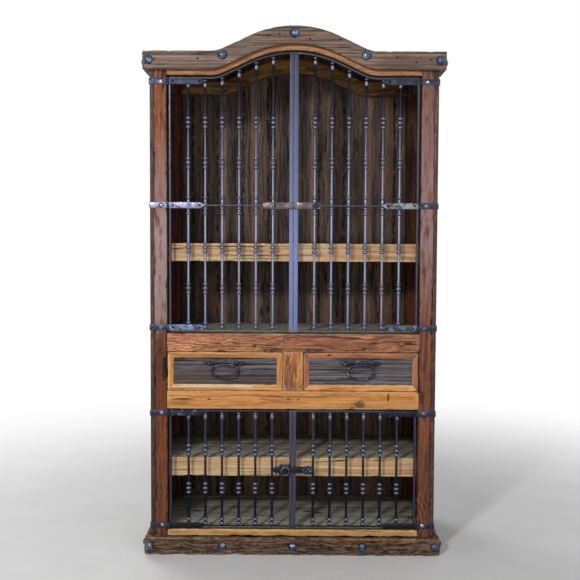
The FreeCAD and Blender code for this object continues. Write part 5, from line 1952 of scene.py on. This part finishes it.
@dataclass
class FixedIronwork:
    """What is fixed to the posts: wrapped straps with knuckles, pins and nails.

    Attributes:
        thick: How thick the straps are.
        tall: How tall they are.
        gap: The running gap between knuckles.
    """

    thick: float = 0.003
    tall: float = 0.024
    gap: float = 0.0003

    def build(self) -> None:
        """Build the straps, the pins and the nails."""
        self.straps()
        self.pins()
        self.nails()

    def straps(self) -> None:
        """The straps over the posts, wrapped round the cabinet's sides."""
        node = "post_straps"
        pieces = []
        pins = islands("hinge_pins")
        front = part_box("front_right_post")[0].y
        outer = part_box("right_side_planks")[1].x
        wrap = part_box(node)[1].y
        depths = (front - self.thick, front)
        notch = KNUCKLE.tall / 2 + self.gap
        for low, high in islands(node):
            side = Side.RIGHT if low.x > 0 else Side.LEFT
            up = (low.z + high.z) / 2
            pin = min(pins, key=lambda box: abs((box[0].z + box[1].z) / 2 - up)
                      + abs(box[0].x - low.x) * (box[0].x * low.x < 0))
            axis = (pin[0] + pin[1]) / 2
            hinge = abs(axis.x)
            # The left middle straps take the pale iron: a painted reflection.
            iron = PALE_IRON if side is Side.LEFT and self.is_middle(up) else STRAP_IRON
            heights = (up - self.tall / 2, up + self.tall / 2)
            strap = side.span(hinge + KNUCKLE.radius, outer + self.thick, depths, heights)
            wrapped = side.span(outer, outer + self.thick, (front - self.thick / 2, wrap),
                                heights)
            pieces += [dressed(iron_bar("post_strap", *span, 0.012, shine=0.3), iron)
                       for span in (strap, wrapped)]
            for sign, end in ((1, heights[1]), (-1, heights[0])):
                tab = side.span(hinge, hinge + KNUCKLE.radius + 0.001, depths,
                                sorted((up + sign * notch, end)))
                middle = up + sign * (notch + KNUCKLE.tall / 2)
                pieces += [KNUCKLE.barrel((axis.x, axis.y, middle)), iron_bar("tab", *tab)]
        present(pieces, node, STRAP_IRON)

    def is_middle(self, up: float) -> bool:
        """Whether a height is that of the upper doors' middle hinges."""
        low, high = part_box("upper_left_door_straps")
        return abs(up - (low.z + high.z) / 2) < 2 * self.tall

    def pins(self) -> None:
        """The hinge pins with their small heads."""
        node = "hinge_pins"
        pieces = []
        for index, (low, high) in enumerate(islands(node)):
            middle = (low + high) / 2
            head = (high.x - low.x) / 2
            shaft = head * 0.6
            rings = [(low.z, shaft * 0.8), (low.z + 0.0008, shaft), (high.z - 0.0022, shaft),
                     (high.z - 0.0019, head), (high.z - 0.0008, head * 0.96),
                     (high.z, head * 0.4)]
            pin = smooth(turned(f"pin_{index}", rings, 18))
            pieces.append(placed(pin, (middle.x, middle.y, 0)))
        present(pieces, node, FORGED_IRON)

    def nails(self) -> None:
        """The domed nails through the post straps."""
        node = "strap_nails"
        pieces = []
        for index, (low, high) in enumerate(islands(node)):
            radius = (high.z - low.z) / 2
            nail = domed_nail(f"strap_nail_{index}", radius, high.y - low.y, 20)
            middle = (low + high) / 2
            pieces.append(facing(nail, (middle.x, high.y, middle.z)))
        present(pieces, node, BRIGHT_IRON)


@dataclass
class Drawer:
    """A drawer: panel, mitred moulding, box, pull plate and bail.

    Attributes:
        side: The hand of the drawer.
        strip: How wide the moulding's strips are.
        wall: How thick the box's walls are.
        bottom: How thick its bottom is.
        bottom_up: How far the bottom lies above the walls' lower edge.
        slope: How far the moulding slopes back to the panel.
        plate_thick: How thick the pull's plate is.
        plate_tall: How tall it is.
        plate_flat: How long its middle part is.
        stud_out: How far its studs are from its middle.
        ball: The radius of the balls that the bail hangs from.
        bail_bar: The radius of the bail's bar.
        bail_half: Half the width of its loop.
        drop: How far the loop's top lies below the balls.
    """

    side: Side
    strip: float = 0.024
    wall: float = 0.012
    bottom: float = 0.008
    bottom_up: float = 0.004
    slope: float = 0.0055
    plate_thick: float = 0.003
    plate_tall: float = 0.026
    plate_flat: float = 0.14
    stud_out: float = 0.065
    ball: float = 0.005
    bail_bar: float = 0.005
    bail_half: float = 0.0535
    drop: float = 0.005

    def build(self) -> None:
        """Build the drawer's pieces."""
        node = f"{self.side.word}_drawer_panel"
        wear = Wear(arris=0.001, chip=0.0, ripple=0.001, warp=0.0)
        present([board(node, *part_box(node), wear, Axis.X)], node, PANEL_WOOD)
        self.moulding()
        self.box()
        self.plate()
        self.bail()

    def moulding(self) -> None:
        """The four mitred strips, each with a slope down to the panel."""
        node = f"{self.side.word}_drawer_moulding"
        low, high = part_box(node)
        middle, half = (low + high) / 2, (high - low) / 2
        wear = Wear(arris=0.0012, ripple=0.0009, warp=0.0012, chip=0.0025, chip_floor=0.52,
                    cell=0.016, across=0.008)
        strips = []
        for axis, end in ((Axis.X, 0), (Axis.X, 1), (Axis.Z, 0), (Axis.Z, 1)):
            run, across = axis.value, 2 - axis.value
            near, far = low.copy(), high.copy()
            edge, inward = (high[across], -1) if end else (low[across], 1)
            (near if end else far)[across] = edge + inward * self.strip

            def mitre(piece: Piece) -> None:
                """Mitre both ends and slope the inner half."""
                for vertex in piece.data.vertices:
                    inside = (vertex.co[across] - edge) * inward / self.strip
                    pull = 1 - self.strip * inside / half[run]
                    vertex.co[run] = middle[run] + (vertex.co[run] - middle[run]) * pull
                    if inside > 0.5:
                        front = (high.y - vertex.co.y) / (high.y - low.y)
                        vertex.co.y += front * (inside - 0.5) * 2 * self.slope

            strip = board(f"{node}_{axis.name}{end}", near, far, wear, axis, mitre)
            lowest = axis is Axis.X and not end
            # The lowest strip's upward-facing slope is painted pale: a painted highlight.
            if lowest:
                paint(strip, "bare", lambda spot: 0.9 if spot.z - low.z > self.strip * 0.65
                      else 0.0)
            red = self.side is Side.RIGHT and not lowest
            strips.append(dressed(strip, RED_WOOD if red else GOLDEN_WOOD))
        present(strips, node)

    def box(self) -> None:
        """The walls, the back and the bottom of the box."""
        node = f"{self.side.word}_drawer_box"
        low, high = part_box(node)
        left, right, rear = low.x + self.wall, high.x - self.wall, high.y - self.wall
        under = low.z + self.bottom_up
        parts = [board(f"{node}_{name}", near, far, INNER_WEAR, grain)
                 for name, near, far, grain in (
                     ("left", low, (left, high.y, high.z), Axis.Y),
                     ("right", (right, low.y, low.z), high, Axis.Y),
                     ("rear", (left, rear, low.z), (right, high.y, high.z), Axis.X),
                     ("bottom", (left, low.y, under), (right, rear, under + self.bottom),
                      Axis.X))]
        present(parts, node, INNER_WOOD)

    def plate(self) -> None:
        """The pointed plate with its scalloped upper edge and two studs."""
        node = f"{self.side.word}_pull_plate"
        low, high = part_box(node)
        middle = (low + high) / 2
        front = high.y - self.plate_thick
        flat = self.plate_flat
        lower = [((high.x - low.x) / 2, 0.0), (flat / 2, -0.4), (flat / 2 - 0.012, -0.5),
                 (0.034, -0.22)]
        upper = [(flat / 2, 0.4), (flat / 2 - 0.014, 0.3), (flat / 2 - 0.026, 0.5), (0.026, 0.5),
                 (0.012, 0.36)]
        outline = ([(-out, rise) for out, rise in lower] + [(0, -0.12)] + lower[::-1] + upper
                   + [(0, 0.5)] + [(-out, rise) for out, rise in upper[::-1]])
        corners_seen = [(middle.x + out, middle.z + self.plate_tall * rise)
                        for out, rise in outline]
        pieces = [cut_plate(node, corners_seen, front, high.y)]
        long = front - low.y
        rings = [(0, 0.006), (0.002, 0.0066), (0.004, 0.0058), (long - 0.002, 0.0058),
                 (long - 0.0006, 0.005), (long, 0.002)]
        for sign in (1, -1):
            stud = smooth(turned("stud", rings, 18))
            pieces.append(facing(stud, (middle.x + sign * self.stud_out, front, middle.z)))
            tack = domed_nail("tack", 0.0042, 0.002, 12)
            pieces.append(facing(tack, (middle.x + sign * flat * 0.55, front, middle.z)))
        present(pieces, node, PULL_IRON)

    def bail(self) -> None:
        """The hanging bail: a round bar swept along its loop, with a ball at each end."""
        node = f"{self.side.word}_pull_bail"
        low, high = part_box(node)
        axis = (low + high) / 2
        axis.z = high.z - self.ball
        half = self.bail_half
        fall = (axis.z - self.drop - low.z - self.bail_bar) / 2
        spots = []
        for turn in turns(48):
            out, up = (math.copysign(abs(share) ** 0.82, share)
                       for share in (math.cos(turn), math.sin(turn)))
            spots.append((axis.x + out * half, axis.y, axis.z + (up - 1) * fall - self.drop))
        pieces = [swept("bail", spots, self.bail_bar, closed=True)]
        for sign in (1, -1):
            rings = bead(0, 2 * self.ball, self.ball, 0.0012, 10)
            end = smooth(turned("bail_end", rings, 16), ROUND_ANGLE)
            pin = smooth(turned("bail_pin", [(0, 0.003), (0.038, 0.003)], 14), ROUND_ANGLE)
            pin.data.transform(Matrix.Rotation(QUARTER * sign, 4, "Y"))
            pieces += [placed(end, axis + Vector((sign * half, 0, 0))),
                       placed(pin, axis + Vector((sign * (half - 0.018), 0, 0)))]
        present(pieces, node, BAIL_IRON)


def cut_plate(name: str, outline: Sequence[Ring], front: float, back: float,
              arris: float = 0.0008) -> Piece:
    """A flat plate cut to an outline seen from the front, with soft edges.

    Args:
        name: The plate's name.
        outline: The corners, as (across, up).
        front: Its front plane.
        back: Its back plane.
        arris: The width of its soft edges.

    Returns:
        The plate.
    """
    clear_selection()
    count = len(outline)
    bpy.ops.mesh.primitive_circle_add(vertices=count, radius=1, fill_type="NGON",
                                      rotation=(QUARTER, 0, 0))
    piece = settle(name)
    for vertex, (across, up) in zip(piece.data.vertices, outline):
        vertex.co = (across, back, up)
    with editing(piece, "FACE"):
        bpy.ops.mesh.select_all(action="SELECT")
        bpy.ops.mesh.extrude_region_move(
            TRANSFORM_OT_translate={"value": (0, front - back, 0)})
        turn_outwards()
    modify(piece, "BEVEL", width=arris, segments=2, limit_method="ANGLE")
    return smooth(piece)


def cut_away(piece: Piece, low: Place, high: Place) -> None:
    """Cut a squared hollow between two corners out of a piece."""
    cutter = block("cutter", low, high)
    modify(piece, "BOOLEAN", operation="DIFFERENCE", object=cutter, solver="EXACT")
    removed(cutter)
    smooth(piece)


@dataclass
class Latch:
    """A latch: keeper on the left door, case and bolt on the right one.

    Attributes:
        level: The upper or the lower latch.
        travel: How far its bolt slides.
        knob: How far from the centre line the bolt's rosette is.
        rosette: The rosette's radius.
        iron: The finish of its bars.
        tall: How tall its bars are.
        tip: How long the rounding of the keeper's tip is.
        staple: The radius of its staple's bar.
        bolt_depths: How far the bolt's faces lie behind the bars' front.
        bolt_half: Half the bolt's height.
        play: The play round the bolt.
        slot: Half the height of the slot for the bolt's stem.
        petals: How many petals the rosette has.
        head: The radius of the peg's head.
        slant: How far the peg leans, in radians.
    """

    level: Level
    travel: float
    knob: float
    rosette: float
    iron: IronFinish
    tall: float = 0.026
    tip: float = 0.013
    staple: float = 0.002
    bolt_depths: Ring = (0.002, 0.005)
    bolt_half: float = 0.010
    play: float = 0.0004
    slot: float = 0.0033
    petals: int = 4
    head: float = 0.0034
    slant: float = math.atan(0.84)

    def build(self) -> None:
        """Build the keeper, the case, the bolt and what hangs in the staple."""
        self.name = f"{self.level.value}_latch"
        low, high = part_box(f"{self.name}_case")
        self.up = (low.z + high.z) / 2
        self.front, self.back = low.y, high.y
        self.keeper()
        self.case()
        self.bolt()
        if self.level is Level.UPPER:
            self.peg()
        else:
            self.ring()

    def keeper(self) -> None:
        """The bar on the left door, with its rounded tip and its staple."""
        node = f"{self.name}_keeper"
        low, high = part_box(node)
        half = self.tall / 2
        outline = [(high.x, self.up - half), (high.x, self.up + half)]
        for turn in turns(16)[:9]:
            outline.append((low.x + self.tip * (1 - math.sin(turn)),
                            self.up + half * math.cos(turn)))
        pieces = [cut_plate(node, outline, self.front, self.back)]
        out, half, eye = -0.076, 0.0065, self.up
        if self.level is Level.LOWER:
            near = -0.00875
            pieces.append(iron_bar("plate", (near - high.z + low.z, self.front - 0.0004, low.z),
                                   (near, self.back, high.z), 0.01, shine=0.1))
            ring_low, ring_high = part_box("lower_latch_ring")
            out, half, eye = (ring_low.x + ring_high.x) / 2, 0.0044, ring_high.z - self.staple
        for piece in pieces:
            self.hollow(piece, -self.travel, 0.001)
        pieces.append(dressed(self.eye(out, eye, half), FORGED_IRON))
        present(pieces, node, self.iron)

    def eye(self, out: float, up: float, half: float, leg: float = 0.005) -> Piece:
        """A staple standing forward, its legs one above the other."""
        bow = [(out, self.front - leg - half * math.sin(turn), up - half * math.cos(turn))
               for turn in turns(24)[:13]]
        spots = [(out, self.front + 0.001, up - half), *bow, (out, self.front + 0.001, up + half)]
        return swept("staple", spots, self.staple)

    def case(self) -> None:
        """The bar on the right door, with its slot for the bolt's stem."""
        node = f"{self.name}_case"
        low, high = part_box(node)
        under, over = self.up - self.tall / 2, self.up + self.tall / 2
        plate = cut_plate(node, [(low.x, under), (low.x, over), (high.x, over), (high.x, under)],
                          self.front, self.back)
        self.hollow(plate, -0.001, self.knob + 0.0085)
        cut_away(plate, (self.knob - self.travel - self.slot, self.front - 0.002,
                         self.up - self.slot),
                 (self.knob + self.slot, self.front + 0.0027, self.up + self.slot))
        present([plate], node, self.iron)

    def hollow(self, piece: Piece, near: float, far: float) -> None:
        """Cut the bolt's way inside a bar, between two places across."""
        half = self.bolt_half + self.play
        cut_away(piece, (near, self.front + self.bolt_depths[0] - self.play, self.up - half),
                 (far, self.front + self.bolt_depths[1] + self.play, self.up + half))

    def bolt(self) -> None:
        """The bolt's rosette on its stem; the flat bolt itself is inside the case."""
        node = f"{self.name}_bolt"
        near, far = (self.front + depth for depth in self.bolt_depths)
        seat = self.front - self.play
        face = seat - 0.003

        def around(turn: float, reach: float) -> Ring:
            """A place on the rosette, across and up, at a share of its radius."""
            reach *= self.rosette
            return self.knob + reach * math.cos(turn), self.up + reach * math.sin(turn)

        level, swell, first = (0.86, 0.14, 0) if self.level is Level.UPPER else (
            0.93, -0.07, math.pi / self.petals)
        rim = [around(turn, level + swell * math.cos(self.petals * turn)) for turn in turns(48)]
        pieces = [iron_bar("bolt", (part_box(node)[0].x, near, self.up - self.bolt_half),
                           (self.knob + 0.008, far, self.up + self.bolt_half)),
                  facing(turned("stem", [(0, 0.003), (0.0054, 0.003)], 14),
                         (self.knob, far, self.up)),
                  cut_plate("rosette", rim, face, seat, 0.0009)]
        for turn in turns(self.petals):
            across, up = around(turn + first, 0.6)
            petal = domed_nail("petal", self.rosette * 0.3, 0.0018, 14)
            pieces.append(facing(petal, (across, face, up)))
        boss = domed_nail("boss", self.rosette * 0.36, 0.004, 20)
        pieces.append(facing(boss, (self.knob, face, self.up)))
        present(pieces, node, ROSETTE_IRON)

    def peg(self) -> None:
        """The locking peg: a tapered pin with a ball head, slanting through its staple."""
        node = f"{self.name}_peg"
        low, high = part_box(node)
        rings = bead(0, 2 * self.head, self.head, 0.0006, 10)[:8]
        rings += [(self.head + 0.0005, 0.0019), (0.034, 0.0013), (0.036, 0.0008)]
        piece = turned(node, rings, 14)
        piece.data.transform(Matrix.Rotation(QUARTER + self.slant, 4, "Y"))
        smooth(piece, ROUND_ANGLE)
        start = (low.x + self.head, (low.y + high.y) / 2, high.z - self.head)
        present([placed(piece, start)], node, BRIGHT_IRON)

    def ring(self) -> None:
        """The ring that hangs in the staple."""
        node = f"{self.name}_ring"
        low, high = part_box(node)
        thick = (high.y - low.y) / 2
        clear_selection()
        bpy.ops.mesh.primitive_torus_add(
            location=(low + high) / 2, rotation=(QUARTER, 0, 0), major_segments=48,
            minor_segments=12, major_radius=(high.x - low.x) / 2 - thick, minor_radius=thick)
        piece = settle(node)
        hammered(piece, clouds("hammer", 0.012, 1), 0.0004)
        smooth(piece, math.radians(60))
        # The bright iron makes the whole ring read as lit: a painted highlight.
        present([piece], node, BRIGHT_IRON)


@dataclass
class Studio:
    """A plain pale floor, soft lamps and the camera.

    Attributes:
        lens: The camera's lens, for a sensor 36 mm wide.
        stand: Where the camera stands.
        pitch: How far it looks down, in degrees.
        yaw: How far it looks to the right, in degrees.
        roll: How far it leans, in degrees.
        floor_size: The length of the floor's sides.
        fade: Between which distances the floor fades into white.
        aim: Where the lamps point.
        glow: How strongly the surroundings light the cabinet.
    """

    lens: float = 52.64
    stand: tuple[float, float, float] = (-0.004, -3.662, 1.260)
    pitch: float = 2.94
    yaw: float = -0.16
    roll: float = -0.27
    floor_size: float = 30.0
    fade: Ring = (0.9, 3.6)
    aim: tuple[float, float, float] = (0, 0, 1.1)
    glow: float = 0.28

    def build(self) -> None:
        """Set the stage."""
        self.camera()
        self.floor()
        self.lamps()
        bpy.context.scene.view_settings.view_transform = "Standard"

    def camera(self) -> None:
        """The camera, at the photo's place and angle."""
        clear_selection()
        bpy.ops.object.camera_add(location=self.stand)
        camera = bpy.context.object
        camera.name = "camera"
        camera.data.lens = self.lens
        camera.data.sensor_width = 36.0
        turn = (Matrix.Rotation(math.radians(-self.yaw), 4, "Z")
                @ Matrix.Rotation(math.radians(90 - self.pitch), 4, "X")
                @ Matrix.Rotation(math.radians(-self.roll), 4, "Z"))
        camera.rotation_euler = turn.to_euler()
        bpy.context.scene.camera = camera

    def floor(self) -> None:
        """The pale floor, which fades into the white surroundings."""
        clear_selection()
        bpy.ops.mesh.primitive_plane_add(size=self.floor_size)
        floor = settle("studio_floor")
        tree = Shader("studio_floor")
        where = tree.place()
        tree.finish(tree.noise(where, 3.0, 4.0).ramp(
            [(0.3, (228, 228, 228)), (0.7, (236, 236, 236))]), 0.7)
        white = tree.node("Emission", {"Color": WHITE, "Strength": 1.0})
        tree.show("Material", where.length().step(*self.fade) * tree.seen("Glossy"),
                  Signal(tree, tree.surface.outputs[0]), white)
        floor.data.materials.append(tree.material)

    def lamps(self) -> None:
        """The soft lamps and the white surroundings."""
        for name, place, wide, tall, power in (
                ("key", (-1.6, -3.9, 2.6), 0.35, 0.35, 86.0),
                ("window", (0.2, -5.2, 1.25), 3.0, 0.8, 28.0),
                ("fill", (2.4, -3.2, 2.8), 2.2, 2.2, 18.0),
                ("rear", (-2.5, 3.6, 3.0), 2.4, 2.4, 80.0)):
            clear_selection()
            bpy.ops.object.light_add(type="AREA", location=place)
            lamp = bpy.context.object
            lamp.name = name
            lamp.data.shape = "RECTANGLE"
            lamp.data.size = wide
            lamp.data.size_y = tall
            lamp.data.energy = power
            aim = Vector(self.aim) - Vector(place)
            lamp.rotation_euler = aim.to_track_quat("-Z", "Y").to_euler()
        world = bpy.data.worlds.new("studio")
        bpy.context.scene.world = world
        world.use_nodes = True
        tree = Nodes(world.node_tree)
        dim, white = (tree.node("Background", {"Color": WHITE, "Strength": strength})
                      for strength in (self.glow, 1.0))
        tree.show("World", tree.seen("Glossy", "Transmission"), dim, white)


def main() -> None:
    """Build the cabinet's looks, piece by piece."""
    logging.basicConfig(level=logging.INFO, format="%(message)s")
    Studio().build()
    Carcass().build()
    NailedBoards("crown", Wear(arris=0.0025, chip=0.002, chip_floor=0.6, cell=0.015,
                               across=0.012, warp=0.0015), CROWN_WOOD, True).build()
    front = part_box("base_front")[0]
    notch = Gouge((-0.24, front.y, 0.0), (0.035, 0.05, 0.03), (0, 0, 0.012))
    torn = Gouge((-0.17, front.y, 0.072), (0.09, 0.05, 0.02), (0, 0, -0.007))
    NailedBoards("base", Wear(arris=0.004, ripple=0.0035, chip=0.008, chip_floor=0.5,
                              cell=0.01, across=0.009, warp=0.003), BASE_WOOD, False,
                 (notch, torn)).build()
    latches = {Level.UPPER: Latch(Level.UPPER, 0.026, 0.090, 0.018, COPPER_IRON),
               Level.LOWER: Latch(Level.LOWER, 0.020, 0.064, 0.021, DARK_IRON)}
    for level in Level:
        for side in Side:
            GrilleDoor(level, side).build()
        latches[level].build()
    FixedIronwork().build()
    for side in Side:
        Drawer(side).build()


if __name__ == "__main__":
    main()
